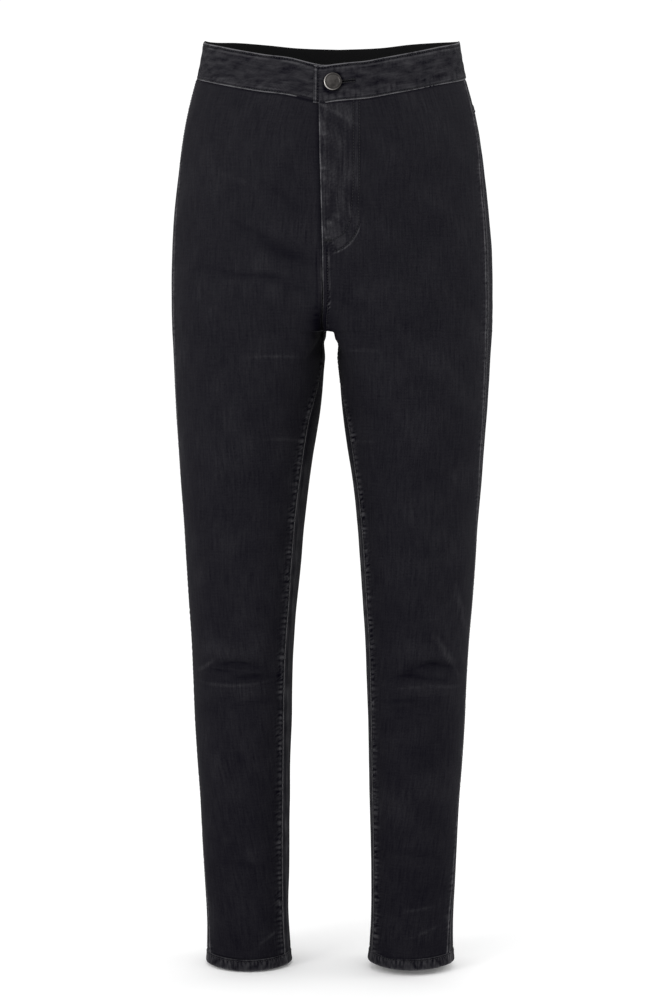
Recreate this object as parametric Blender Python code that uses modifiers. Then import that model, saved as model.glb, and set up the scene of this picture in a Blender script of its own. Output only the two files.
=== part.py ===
"""Skinny jeans: high waist, ankle length, filled out as when worn, hollow inside.

The wearer faces -Y, +X is the wearer's left, +Z is up. The origin is the middle of the waist,
at half the waistband's height at the side seams, because the waist is what holds the jeans up.

The cloth is one smooth skin, cut into the pieces that are sewn together. A point of it has two
parameters: "around" runs from the front edge (0) over the side seam (1) to the back edge (2) of
one half, and "down" runs from the waist seam (0) over the hip line (1) and the crotch (2) to the
hem (3). Above the hip line a section is half an ellipse, and down the leg a closed ellipse. In
between, a point keeps its distance from the middle and only its depth goes from one to the
other: at once at the inner edges, so that they draw the U of the crotch seam, and slowly over
the thigh everywhere else.
"""

import math

import bmesh
import bpy
import numpy as np
from mathutils import Matrix, Vector

# Driving dimensions, in metres
CLOTH = 0.0012
BAND_CLOTH = 0.0024
HEM_CLOTH = 0.0028
SEAM_GAP = 0.0003

RIM_AT_SIDES = 0.020
RIM_DIP_FRONT = 0.0336
RIM_RISE_BACK = 0.0017
RIM_DIP_POWER = 0.88
RIM_ROUND = 0.05  # radians over which the front dip's point is rounded
BAND_HEIGHT = 0.039
YOKE_AT_CENTRE = 0.064

HIP_Z = -0.210
CROTCH_Z = -0.2885
HEM_Z = -0.986
HEM_HEIGHT = 0.013

# How sharply the front and the back crotch seams turn under the body, where the thigh has
# become an ellipse all round, how far from its innermost point the crotch shapes it, and how
# much lower that ends away from the seam
CROTCH_TURN_FRONT = 0.6
CROTCH_TURN_BACK = 1.1
THIGH_ROUND_Z = -0.385
CROTCH_REACH = math.radians(62)
CROTCH_SPREAD = 0.6
# Under the crotch the gap between the legs opens near the inseam first: the power of its share
INSEAM_POWER = 4.0

# The side seam as an angle from the middle of the front, at the waist and at the hips, and the
# heights between which it goes from one to the other
SIDE_TURN_WAIST = math.radians(83)
SIDE_TURN_HIP = math.radians(77.3)
SIDE_TURN_Z = (-0.062, -0.150)
# Where the columns of the mesh begin to crowd towards the crotch
CROWD_START_Z = -0.095

# Sections of the body and the leg: half width to the outside, gap to the inside of the leg from
# the middle, reach to the front and to the back
SECTION_COLUMNS = ("z", "outer", "inner", "front", "back")
SECTIONS = np.array([
    (0.026, 0.1362, 0.0000, 0.0962, 0.0992),
    (0.001, 0.1402, 0.0000, 0.0992, 0.1030),
    (-0.020, 0.1446, 0.0000, 0.1030, 0.1070),
    (-0.042, 0.1506, 0.0000, 0.1064, 0.1108),
    (-0.063, 0.1556, 0.0000, 0.1092, 0.1148),
    (-0.106, 0.1633, 0.0000, 0.1138, 0.1240),
    (-0.149, 0.1689, 0.0000, 0.1158, 0.1308),
    (-0.192, 0.1724, 0.0000, 0.1154, 0.1340),
    (-0.235, 0.1738, 0.0000, 0.1120, 0.1306),
    (-0.2885, 0.1737, 0.0000, 0.1020, 0.1130),
    (-0.294, 0.1734, 0.0046, 0.1008, 0.1104),
    (-0.321, 0.1720, 0.0078, 0.0955, 0.0985),
    (-0.364, 0.1696, 0.0114, 0.0896, 0.0868),
    (-0.408, 0.1665, 0.0169, 0.0852, 0.0784),
    (-0.452, 0.1635, 0.0236, 0.0812, 0.0722),
    (-0.495, 0.1600, 0.0289, 0.0774, 0.0672),
    (-0.539, 0.1574, 0.0328, 0.0734, 0.0632),
    (-0.583, 0.1546, 0.0358, 0.0696, 0.0602),
    (-0.627, 0.1514, 0.0393, 0.0664, 0.0584),
    (-0.672, 0.1493, 0.0412, 0.0622, 0.0584),
    (-0.716, 0.1478, 0.0424, 0.0552, 0.0620),
    (-0.760, 0.1452, 0.0434, 0.0480, 0.0660),
    (-0.805, 0.1418, 0.0446, 0.0412, 0.0680),
    (-0.850, 0.1396, 0.0456, 0.0352, 0.0664),
    (-0.895, 0.1376, 0.0460, 0.0304, 0.0642),
    (-0.940, 0.1362, 0.0458, 0.0274, 0.0622),
    (-0.986, 0.1374, 0.0432, 0.0262, 0.0622),
])

# How far the side seam lies in front of the leg's widest point, and the inseam of its innermost
SEAM_COLUMNS = ("z", "side_seam", "inseam")
SEAM_DEGREES = np.array([
    (CROTCH_Z, 18.0, 0.0),
    (-0.330, 16.0, 10.0),
    (-0.380, 14.0, 24.0),
    (-0.452, 12.0, 27.0),
    (-0.539, 3.0, 27.0),
    (-0.716, 2.0, 27.0),
    (-0.850, 9.0, 26.0),
    (-0.986, 23.0, 24.0),
])

# The fly: the edge of its lap, as heights and distances from the middle. It lies on the right
# front and leans a little past the middle.
LAP_EDGE_Z = (HIP_Z, -0.190, -0.150, -0.100, -0.045)
LAP_EDGE_X = (SEAM_GAP / 2, -0.0002, -0.0013, -0.0029, -0.0044)
# Under it the right front's edge lies beside the zip's chain, this far past the middle
UNDER_EDGE_X = 0.0014
UNDERLAP_END_Z = (-0.176, -0.188)
UNDER_DEPTH = CLOTH + SEAM_GAP
UNDER_RAMP_X = (0.026, 0.007)

# What hides behind the lap, as depths below the skin
ZIP_X = (-0.008, 0.018)
ZIP_CHAIN_X = (0.0034, 0.0086)
ZIP_TAPE_DEPTH = (0.0030, 0.0040)
ZIP_CHAIN_DEPTH = (0.0026, 0.0045)
ZIP_END_Z = -0.188
SHIELD_X = (-0.008, 0.024)
SHIELD_COLUMNS = 6
SHIELD_DEPTH = (0.0048, 0.0060)
SHIELD_END_Z = -0.192
HIDDEN_GAP = 0.0006
ZIP_CHAIN_SLOPE = 0.0006
SLIDER_DEPTH = (0.0015, 0.0023)
SLIDER_BELOW_SEAM = 0.003
# Half the slider's width at each distance down from its top: the plate, its waist, the pull tab
SLIDER_COLUMNS = ("down", "half_width")
SLIDER_OUTLINE = ((0.000, 0.0037), (0.006, 0.0041), (0.010, 0.0021), (0.026, 0.0024))

# Sections of the waistband and the hem: height as a share of the band's, and how far the face
# is set in there to round the folded edges
EDGE_COLUMNS = ("height", "set_in")
BAND_EDGES = ((0.0, 0.0004), (0.06, 0.0), (0.5, 0.0), (0.94, 0.0), (1.0, 0.0004))
HEM_EDGES = ((0.0, 0.0007), (0.12, 0.0), (0.88, 0.0), (1.0, 0.0007))
HEM_PROUD = 0.0003
HEM_COLUMNS = 14

# The waistband's ends: the tab on the left end laps over the right end
BAND_PROUD = 0.0005
TAB_END_X = -0.0098
BAND_UNDER_END_X = 0.025
BAND_UNDER_DEPTH = BAND_CLOTH + SEAM_GAP
BAND_RAMP_X = (-0.033, -0.0125)

BUTTON_X = 0.0107
BUTTON_Z = -0.0318
BUTTON_RADIUS = 0.0095
SHANK_RADIUS = 0.0020
NAIL_RADIUS = 0.0010
# The cap as shares of the button's radius and heights above the cloth: a dished middle inside a
# rolled rim
CAP_COLUMNS = ("radius_share", "height")
CAP_PROFILE = (
    (0.00, 0.0026), (0.64, 0.0027), (0.78, 0.0033), (0.90, 0.0032),
    (0.98, 0.0024), (1.00, 0.0014), (0.96, 0.0005), (0.84, 0.0000),
)
# The rivet behind, as radii and depths
RIVET_COLUMNS = ("radius", "depth")
RIVET_PROFILE = ((0.0042, 0.0), (0.0036, 0.0009), (0.0, 0.0011))
ROUND_STEPS = 24
BUTTONHOLE_END_X = 0.0335
BUTTONHOLE_HALF = 0.0008
BUTTONHOLE_STATIONS = 6
EYELET_ROOM = 0.0006
# How far the cutters reach out of the cloth and in behind it
CUT_OUT = 0.003
CUT_BEHIND = 0.008

# The largest folds: middle of each fold as seen from the front or the back, its length, its
# slant in degrees, how far its ends droop, half its width, and its height (a trough is negative)
FOLD_COLUMNS = ("half", "face", "x", "z", "length", "slant", "droop", "width", "height")
FOLD_FACING = 0.5  # how squarely the cloth faces front or back where a fold has its full height
FRONT, BACK = 1, -1
LEFT, RIGHT = 1, -1
FOLDS = [
    (RIGHT, FRONT, 0.044, -0.2035, 0.100, 24, -0.007, 0.0085, -0.0034),
    (RIGHT, FRONT, 0.050, -0.1840, 0.105, 24, -0.007, 0.0110, 0.0020),
    (RIGHT, FRONT, 0.094, -0.6480, 0.075, 5, 0.003, 0.0058, -0.0036),
    (RIGHT, FRONT, 0.078, -0.6610, 0.060, -4, 0.003, 0.0055, -0.0030),
    (RIGHT, FRONT, 0.100, -0.6320, 0.085, 4, 0.005, 0.0110, 0.0030),
    (RIGHT, FRONT, 0.096, -0.6740, 0.085, 1, 0.003, 0.0080, 0.0024),
    (LEFT, FRONT, 0.116, -0.6440, 0.075, 0, 0.016, 0.0058, -0.0036),
    (LEFT, FRONT, 0.091, -0.6560, 0.065, 0, 0.011, 0.0055, -0.0030),
    (LEFT, FRONT, 0.104, -0.6290, 0.085, -4, 0.010, 0.0110, 0.0028),
    (LEFT, FRONT, 0.108, -0.6720, 0.080, -3, 0.004, 0.0080, 0.0024),
    (RIGHT, BACK, 0.098, -0.6180, 0.090, 6, 0.004, 0.0090, -0.0040),
    (RIGHT, BACK, 0.092, -0.6560, 0.100, -5, 0.006, 0.0090, -0.0052),
    (RIGHT, BACK, 0.098, -0.7000, 0.085, 8, 0.004, 0.0100, -0.0036),
    (LEFT, BACK, 0.094, -0.6220, 0.095, -7, 0.006, 0.0090, -0.0044),
    (LEFT, BACK, 0.098, -0.6600, 0.090, 4, 0.004, 0.0090, -0.0048),
    (LEFT, BACK, 0.092, -0.7050, 0.080, -6, 0.004, 0.0100, -0.0034),
    (RIGHT, BACK, 0.080, -0.3080, 0.110, 14, 0.006, 0.0110, -0.0046),
    (LEFT, BACK, 0.084, -0.3110, 0.105, 12, 0.006, 0.0110, -0.0042),
]

# How finely the skin is cut into faces
COLUMNS = np.array([0, 0.022, 0.045, 0.09, 0.14, 0.21, 0.31, 0.42, 0.54, 0.66, 0.78, 0.90, 1])
BODY_ROWS = np.array([0, 0.09, 0.18, 0.36, 0.54, 0.70, 0.80, 0.87, 0.94, 1])
YOKE_LAST_ROW = 2
CROTCH_DEGREES = np.array([18, 36, 54, 68, 80, 90])
CROTCH_STEPS = (0.0045, 0.012)
LEG_STEP = 0.027
KNEE_STEP = 0.0075
KNEE_ZONE = (-0.608, -0.714)
STRIP_ROWS = 7
# Steps of "around" and "down" over which slopes are measured, and over which an edge's way is
SLOPE_STEP = 0.004
EDGE_STEP = 0.001
SEAM_NEAR = 1e-6
# An edge closer to the middle than this is a seam with the other half, and not a free edge
AT_MIDDLE = 0.0005
SHARP_ANGLE = math.radians(50)

DENIM = (0.0140, 0.0130, 0.0170, 1)
DENIM_WORN = (0.0200, 0.0190, 0.0240, 1)
DENIM_INSIDE = (0.0100, 0.0100, 0.0105, 1)
GUNMETAL = (0.0650, 0.0600, 0.0580, 1)
ZIP_METAL = (0.2000, 0.1800, 0.1500, 1)


def read_table(table, names, column, z):
    """One column of a table at the heights z: a cubic through the rows, flat beyond them."""
    heights = table[::-1, 0]
    values = table[::-1, names.index(column)]
    slopes = np.gradient(values, heights)
    z = np.clip(z, heights[0], heights[-1])
    low = np.clip(np.searchsorted(heights, z) - 1, 0, len(heights) - 2)
    step = heights[low + 1] - heights[low]
    t = (z - heights[low]) / step
    rise = values[low] * (1 + 2 * t) * (1 - t) ** 2 + values[low + 1] * t**2 * (3 - 2 * t)
    bend = step * t * (1 - t) * (slopes[low] * (1 - t) - slopes[low + 1] * t)
    return rise + bend


def section(column, z):
    return read_table(SECTIONS, SECTION_COLUMNS, column, z)


def seam_angle(column, z):
    return np.radians(read_table(SEAM_DEGREES, SEAM_COLUMNS, column, z))


def lap_edge(z):
    return np.interp(z, LAP_EDGE_Z, LAP_EDGE_X)


def ramp(value, start, end):
    """Runs smoothly from 0 at start to 1 at end."""
    t = np.clip((value - start) / (end - start), 0, 1)
    return t * t * (3 - 2 * t)


def rim_z(turn):
    """Height of the waistband's top edge; turn is the angle from the middle of the front."""
    turn = np.abs((turn + math.pi) % (2 * math.pi) - math.pi)
    rounded = np.hypot(turn, RIM_ROUND) - RIM_ROUND
    front = np.clip(rounded / (math.pi / 2 - RIM_ROUND), 0, 1)
    dip = RIM_DIP_FRONT * (1 - front**RIM_DIP_POWER)
    rise = RIM_RISE_BACK * np.where(turn > math.pi / 2, np.cos(turn) ** 2, 0)
    return RIM_AT_SIDES - dip + rise


def waist_seam_z(turn):
    return rim_z(turn) - BAND_HEIGHT


def yoke_seam_z(turn):
    """The seam under the yoke drops from the side seams to the middle of the back."""
    at_side = BODY_ROWS[YOKE_LAST_ROW] * (waist_seam_z(SIDE_TURN_WAIST) - HIP_Z)
    share = np.clip((turn - SIDE_TURN_WAIST) / (math.pi - SIDE_TURN_WAIST), 0, 1)
    return waist_seam_z(turn) - at_side - (YOKE_AT_CENTRE - at_side) * share


def side_turn(z):
    share = ramp(z, SIDE_TURN_Z[0], SIDE_TURN_Z[1])
    return SIDE_TURN_WAIST + (SIDE_TURN_HIP - SIDE_TURN_WAIST) * share


def body_angle(around, edge_turn, side=SIDE_TURN_WAIST):
    """Angle from the middle of the front: edge_turn at the front edge, half a turn at the back."""
    front = edge_turn + np.clip(around, -1, 1) * (side - edge_turn)
    back = side + (around - 1) * (math.pi - side)
    return np.where(around <= 1, front, back)


def leg_angle(around, z):
    """Angle from the innermost point of the leg over its front: the inseam at 0 and at 2."""
    inseam = seam_angle("inseam", z)
    side = math.pi - seam_angle("side_seam", z)
    front = inseam + around * (side - inseam)
    back = side + (around - 1) * (2 * math.pi + inseam - side)
    return np.where(around <= 1, front, back)


def skin(around, down, top_z, edge_x=0.0):
    """Points of the half on the +X side, as the text at the top of this file says."""
    around, down = np.broadcast_arrays(np.float64(around), np.float64(down))
    past_front = (around < 0) & (down < 2)
    past_back = (around > 2) & (down < 2)
    wrapped = np.where(down >= 2, around % 2, around)
    wrapped = np.where((down >= 2) & (around == 2), 2, wrapped)
    wrapped = np.where(past_front & (np.abs(edge_x) < AT_MIDDLE), -wrapped, wrapped)
    wrapped = np.where(past_back, 4 - wrapped, wrapped)

    under = np.radians(np.clip(down - 1, 0, 1) * 90)
    waist = section("outer", top_z(0.0))
    start_z = top_z(body_angle(wrapped, np.arcsin(edge_x / waist)))
    z = np.where(down < 1, start_z + (HIP_Z - start_z) * down, HIP_Z)
    z = np.where(down >= 1, HIP_Z + (CROTCH_Z - HIP_Z) * np.sin(under), z)
    z = np.where(down >= 2, CROTCH_Z + (HEM_Z - CROTCH_Z) * (down - 2), z)

    outer, inner = section("outer", z), section("inner", z)
    inner = np.where(z < CROTCH_Z, inner, 0)
    front, back = section("front", z), section("back", z)

    leg_turn = leg_angle(wrapped, z)
    opening = INSEAM_POWER + (1 - INSEAM_POWER) * ramp(z, CROTCH_Z, THIGH_ROUND_Z)
    leg_x = outer * (1 - np.cos(leg_turn)) / 2 + inner * ((1 + np.cos(leg_turn)) / 2) ** opening
    leg_y = (back - front) / 2 - (front + back) / 2 * np.sin(leg_turn)

    edge_turn = np.arcsin(edge_x / outer)
    turn = body_angle(wrapped, edge_turn, side_turn(z))
    same_x = np.arcsin(np.clip(leg_x / outer, -1, 1))
    in_back = (leg_turn > math.pi) & (leg_turn <= 2 * math.pi)
    same_x = np.where(in_back, math.pi - same_x, same_x)
    same_x += edge_turn * np.clip(1 - wrapped, 0, 1)
    turn = turn + (same_x - turn) * ramp(z, CROWD_START_Z, HIP_Z)
    reach = np.where(np.cos(turn) > 0, front, back)
    body_y = -reach * np.cos(turn)

    off_edge = np.abs((leg_turn + math.pi) % (2 * math.pi) - math.pi) / CROTCH_REACH
    fall = (HIP_Z - z) / (HIP_Z - CROTCH_Z) / (1 + CROTCH_SPREAD * off_edge)
    power = np.where(wrapped < 1, CROTCH_TURN_FRONT, CROTCH_TURN_BACK)
    at_edge = 1 - (1 - np.clip(fall, 0, 1) ** 2) ** (power / 2)
    thigh = ramp(z, HIP_Z, THIGH_ROUND_Z)
    merge = thigh + (at_edge - thigh) * (1 - ramp(off_edge, 0, 1))
    merge = np.where(down < 1, 0, merge)
    points = np.stack([outer * np.sin(turn), body_y + (leg_y - body_y) * merge, z], -1)
    mirrored = (past_front & (np.abs(edge_x) < AT_MIDDLE)) | past_back
    points[..., 0] = np.where(mirrored, -points[..., 0], points[..., 0])
    return points


def normals_of(around, down, top_z, edge_x):
    """Outward unit normals of the skin, from its slopes each way."""
    free_edge = (np.abs(edge_x) >= AT_MIDDLE) & (around < SLOPE_STEP)
    before = np.where(free_edge, around, around - SLOPE_STEP)
    after = around + SLOPE_STEP
    across = skin(after, down, top_z, edge_x) - skin(before, down, top_z, edge_x)
    upper = skin(around, np.maximum(down - SLOPE_STEP, 0), top_z, edge_x)
    lower = skin(around, np.minimum(down + SLOPE_STEP, 3), top_z, edge_x)
    normal = np.cross(lower - upper, across)
    seam = (np.minimum(around, 2 - around) < SEAM_NEAR) & (np.abs(edge_x) < AT_MIDDLE)
    in_plane = seam & (down < 2)
    normal[..., 0] = np.where(in_plane, 0, normal[..., 0])
    at_crotch = seam & (np.abs(down - 2) < SEAM_NEAR)
    normal = np.where(at_crotch[..., None], (0, 0, -1), normal)
    return normal / np.linalg.norm(normal, axis=-1, keepdims=True)


def fold_height(points, normal, half):
    """What the folds add along the normal: bell-shaped across, fading out to both ends."""
    total = np.zeros(points.shape[:-1])
    for fold in FOLDS:
        row = dict(zip(FOLD_COLUMNS, fold))
        if row["half"] != half:
            continue
        slant = math.radians(row["slant"])
        dx = points[..., 0] - row["x"]
        dz = points[..., 2] - row["z"]
        along = (dx * math.cos(slant) + dz * math.sin(slant)) / (row["length"] / 2)
        off = dz * math.cos(slant) - dx * math.sin(slant) + row["droop"] * along**2
        fade = np.clip(1 - along**2, 0, 1) ** 2
        facing = ramp(-normal[..., 1] * row["face"], 0, FOLD_FACING)
        total += row["height"] * np.exp(-((off / row["width"]) ** 2)) * fade * facing
    return total


def leg_rows():
    """Values of "down" below the crotch, closer together at the knee."""
    end = HEM_Z + HEM_HEIGHT + SEAM_GAP
    heights = [CROTCH_Z - step for step in CROTCH_STEPS]
    while heights[-1] - LEG_STEP > end + LEG_STEP / 2:
        in_knee = KNEE_ZONE[1] < heights[-1] < KNEE_ZONE[0]
        heights.append(heights[-1] - (KNEE_STEP if in_knee else LEG_STEP))
    heights.append(end)
    return 2 + (np.array(heights) - CROTCH_Z) / (HEM_Z - CROTCH_Z)


def material(name, colour, roughness, metallic=0.0):
    made = bpy.data.materials.new(name)
    made.use_nodes = True
    shader = made.node_tree.nodes["Principled BSDF"]
    shader.inputs["Base Color"].default_value = colour
    shader.inputs["Roughness"].default_value = roughness
    shader.inputs["Metallic"].default_value = metallic
    made.diffuse_color = colour
    return made


def add_object(name, mesh, collection, finish=None):
    obj = bpy.data.objects.new(name, mesh)
    collection.objects.link(obj)
    if finish:
        mesh.materials.append(finish)
    return obj


def loft(name, sections, collection, finish=None, closed=False):
    """A closed body through sections of equal count, each one out along a face and back along
    the other; the ends are capped with strips between the faces unless the path is closed."""
    stations, count = sections.shape[:2]
    index = np.arange(stations * count).reshape(stations, count)
    first = index if closed else index[:-1]
    second = np.roll(index, -1, axis=0) if closed else index[1:]
    sides = np.stack(
        [first, np.roll(first, -1, axis=1), np.roll(second, -1, axis=1), second], -1
    ).reshape(-1, 4)
    faces = sides.tolist()
    if not closed:
        for end in (index[0], index[-1]):
            back = end[::-1]
            half = count // 2
            faces += np.stack(
                [end[: half - 1], end[1:half], back[1:half], back[: half - 1]], -1
            ).tolist()
    mesh = bpy.data.meshes.new(name)
    mesh.from_pydata(sections.reshape(-1, 3).tolist(), [], faces)
    work = bmesh.new()
    work.from_mesh(mesh)
    bmesh.ops.recalc_face_normals(work, faces=work.faces)
    work.to_mesh(mesh)
    work.free()
    mesh.shade_smooth()
    mesh.set_sharp_from_angle(angle=SHARP_ANGLE)
    return add_object(name, mesh, collection, finish)


def panel(name, half, around, down, top_z, collection, finish, edge_x=None, sink=None):
    """A piece of the skin, as thick as the cloth, half a seam gap inside its own edges. "down"
    is one value a row, or one a row and column where the piece's lower edge slopes."""
    down = down if down.ndim == 2 else down[:, None]
    around, down = np.broadcast_arrays(around, down)
    edge_x = np.zeros_like(down) if edge_x is None else edge_x(down)
    points = skin(around, down, top_z, edge_x)
    normal = normals_of(around, down, top_z, edge_x)
    depth = -fold_height(points, normal, half)
    if sink:
        depth = depth + sink(points)

    for column, way in ((0, 1), (-1, -1)):
        at = around[:, column] + way * EDGE_STEP
        aside = skin(at, down[:, column], top_z, edge_x[:, column]) - points[:, column]
        aside /= np.linalg.norm(aside, axis=-1, keepdims=True)
        free_edge = (np.abs(edge_x[:, column]) >= AT_MIDDLE) & (column == 0)
        points[:, column] += np.where(free_edge[:, None], 0, aside * SEAM_GAP / 2)

    outside = points - normal * depth[..., None]
    inside = outside - normal * CLOTH
    for face in (outside, inside):
        at_middle = (down >= 1) | (around > 1)
        face[..., 0] = np.where(at_middle, np.maximum(face[..., 0], SEAM_GAP / 2), face[..., 0])
        face[..., 0] *= half
    profile = np.concatenate([outside, inside[:, ::-1]], axis=1)
    return loft(name, profile, collection, finish)


def shifted(line, drop):
    return lambda turn: line(turn) - drop


def front_edge(x_of_z):
    """Turns an edge given by its height into one given by "down"."""
    top = waist_seam_z(0.0)

    def edge(down):
        z = top + (HIP_Z - top) * np.clip(down, 0, 1)
        return np.where(down >= 1, 0.0, x_of_z(z))

    return edge


def under_edge_x(z):
    """The right front's edge, seen from its own side: past the middle under the lap, and below
    its end a seam's gap from the lap's edge."""
    ended = ramp(z, UNDERLAP_END_Z[0], UNDERLAP_END_Z[1])
    return (SEAM_GAP - lap_edge(z)) * ended - UNDER_EDGE_X * (1 - ended)


def under_sink(points):
    """How deep the right front lies under the lap."""
    aside = ramp(points[..., 0], UNDER_RAMP_X[0], UNDER_RAMP_X[1])
    ending = 1 - ramp(points[..., 2], UNDERLAP_END_Z[1], HIP_Z)
    return UNDER_DEPTH * aside * ending


def body_point(x, z, depth):
    """A point of the front at x and z, this deep below the skin."""
    x, z, depth = np.broadcast_arrays(np.float64(x), np.float64(z), np.float64(depth))
    wide, front = section("outer", z), section("front", z)
    y = -front * np.sqrt(1 - (x / wide) ** 2)
    normal = np.stack([x / wide**2, y / front**2, np.zeros_like(z)], -1)
    normal /= np.linalg.norm(normal, axis=-1, keepdims=True)
    return np.stack([x, y, z], -1) - normal * depth[..., None]


def strip(name, profile, end_z, collection, finish):
    """A strip down the front behind the lap; the profile is a list of (x, depth)."""
    x, depth = np.array(profile).T
    wide = section("outer", waist_seam_z(0.0))
    start = waist_seam_z(np.arcsin(x / wide)) - HIDDEN_GAP
    rows = np.linspace(0, 1, STRIP_ROWS)
    sections = [body_point(x, start + (end_z - start) * share, depth) for share in rows]
    return loft(name, np.array(sections), collection, finish)


def build_fronts(collection, finish):
    top = shifted(waist_seam_z, SEAM_GAP)
    down = np.concatenate([BODY_ROWS, 1 + CROTCH_DEGREES / 90, leg_rows()])
    panel("front_left", LEFT, COLUMNS, down, top, collection, finish, edge_x=front_edge(lap_edge))
    panel(
        "front_right", RIGHT, COLUMNS, down, top, collection, finish,
        edge_x=front_edge(under_edge_x), sink=under_sink,
    )


def build_backs(collection, finish):
    around = 2 - COLUMNS[::-1]
    first = BODY_ROWS[YOKE_LAST_ROW]
    body = (BODY_ROWS[YOKE_LAST_ROW:] - first) / (1 - first)
    down = np.concatenate([body, 1 + CROTCH_DEGREES / 90, leg_rows()])
    for side, half in (("left", LEFT), ("right", RIGHT)):
        top = shifted(yoke_seam_z, SEAM_GAP / 2)
        panel(f"back_{side}", half, around, down, top, collection, finish)


def build_yokes(collection, finish):
    """Each yoke runs from the waist seam down to the seam above the back panel."""
    around = 2 - COLUMNS[::-1]
    top = shifted(waist_seam_z, SEAM_GAP)
    turn = body_angle(around, 0.0)
    share = (yoke_seam_z(turn) + SEAM_GAP / 2 - top(turn)) / (HIP_Z - top(turn))
    down = np.linspace(0, 1, YOKE_LAST_ROW + 1)[:, None] * share
    for side, half in (("left", LEFT), ("right", RIGHT)):
        panel(f"yoke_{side}", half, around, down, top, collection, finish)


def folded_section(edges, thickness):
    """Heights and depths of a folded band's section, up its outside and down its inside."""
    height, set_in = np.array(edges).T
    depth = np.concatenate([set_in, thickness - set_in[::-1]])
    return np.concatenate([height, height[::-1]]), depth


def band_sections(turns, depth_of):
    """The waistband's rounded section at each turn."""
    height, set_in = folded_section(BAND_EDGES, BAND_CLOTH)
    sections = []
    for turn in turns:
        z = waist_seam_z(turn) + height * BAND_HEIGHT
        depth = set_in + depth_of(turn)
        wide = section("outer", z)
        reach = section("front" if math.cos(turn) > 0 else "back", z)
        x, y = wide * math.sin(turn), -reach * math.cos(turn)
        normal = np.stack([x / wide**2, y / reach**2], -1)
        normal /= np.linalg.norm(normal, axis=-1, keepdims=True)
        sections.append(
            np.stack([x - normal[:, 0] * depth, y - normal[:, 1] * depth, z], -1)
        )
    return np.array(sections)


def build_waistband(collection, cutters, finish):
    wide = float(section("outer", np.float64(waist_seam_z(0.0))))
    start = math.asin(TAB_END_X / wide)
    end = 2 * math.pi + math.asin(BAND_UNDER_END_X / wide)
    full = 2 * math.pi
    ramp_turns = full + np.arcsin(np.array(BAND_RAMP_X) / wide)
    front = COLUMNS * SIDE_TURN_WAIST
    back = SIDE_TURN_WAIST + (1 - COLUMNS[::-1]) * (math.pi - SIDE_TURN_WAIST)
    turns = np.concatenate([
        [start], front, back[1:], full - back[::-1][1:], full - front[::-1][1:-1],
        np.linspace(full, end, 4)[1:],
    ])
    turns = np.unique(np.round(turns, 6))

    def depth_of(turn):
        return BAND_UNDER_DEPTH * ramp(turn, ramp_turns[0], ramp_turns[1]) - BAND_PROUD

    band = loft("waistband", band_sections(turns, depth_of), collection, finish)
    for cutter in (buttonhole_cutter(cutters), eyelet_cutter(cutters), nail_cutter(cutters)):
        cut = band.modifiers.new(cutter.name, "BOOLEAN")
        cut.operation = "DIFFERENCE"
        cut.object = cutter
    return band


def as_cutter(obj):
    obj.hide_render = True
    obj.display_type = "WIRE"
    return obj


def between_layers():
    """Depth halfway between the tab's inner face and the underlap's outer face."""
    return BAND_CLOTH - BAND_PROUD + SEAM_GAP / 2


def buttonhole_cutter(cutters):
    """A slot that follows the band's curve and ends in the gap behind the tab."""
    low, high = BUTTON_Z - BUTTONHOLE_HALF, BUTTON_Z + BUTTONHOLE_HALF
    z = np.array([low, high, high, low])
    depth = np.array([-CUT_OUT, -CUT_OUT, between_layers(), between_layers()])
    x = np.linspace(BUTTON_X, BUTTONHOLE_END_X, BUTTONHOLE_STATIONS)
    rows = [body_point(at, z, depth) for at in x]
    return as_cutter(loft("buttonhole_cutter", np.array(rows), cutters))


def button_matrix():
    """Places a piece turned about Z so that its axis points out of the front at the button."""
    step = BUTTON_RADIUS / 2
    here = body_point(BUTTON_X, BUTTON_Z, 0)
    aside = body_point(BUTTON_X + step, BUTTON_Z, 0) - body_point(BUTTON_X - step, BUTTON_Z, 0)
    above = body_point(BUTTON_X, BUTTON_Z + step, 0) - body_point(BUTTON_X, BUTTON_Z - step, 0)
    out = np.cross(aside, above)
    x_axis = Vector(aside).normalized()
    z_axis = Vector(out).normalized()
    y_axis = z_axis.cross(x_axis)
    turned = Matrix((x_axis, y_axis, z_axis)).transposed().to_4x4()
    return Matrix.Translation(Vector(here)) @ turned


def cylinder_cutter(name, radius, low, high, cutters):
    mesh = bpy.data.meshes.new(name)
    work = bmesh.new()
    long = high - low
    bmesh.ops.create_cone(
        work, cap_ends=True, segments=ROUND_STEPS, radius1=radius, radius2=radius, depth=long
    )
    bmesh.ops.translate(work, verts=work.verts, vec=(0, 0, (high + low) / 2))
    work.to_mesh(mesh)
    work.free()
    cutter = as_cutter(add_object(name, mesh, cutters))
    cutter.matrix_world = button_matrix()
    return cutter


def eyelet_cutter(cutters):
    """The round end of the keyhole, where the shank stands."""
    radius = SHANK_RADIUS + EYELET_ROOM
    return cylinder_cutter("eyelet_cutter", radius, -between_layers(), CUT_OUT, cutters)


def nail_cutter(cutters):
    return cylinder_cutter("nail_cutter", NAIL_RADIUS + SEAM_GAP, -CUT_BEHIND, CUT_OUT, cutters)


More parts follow.
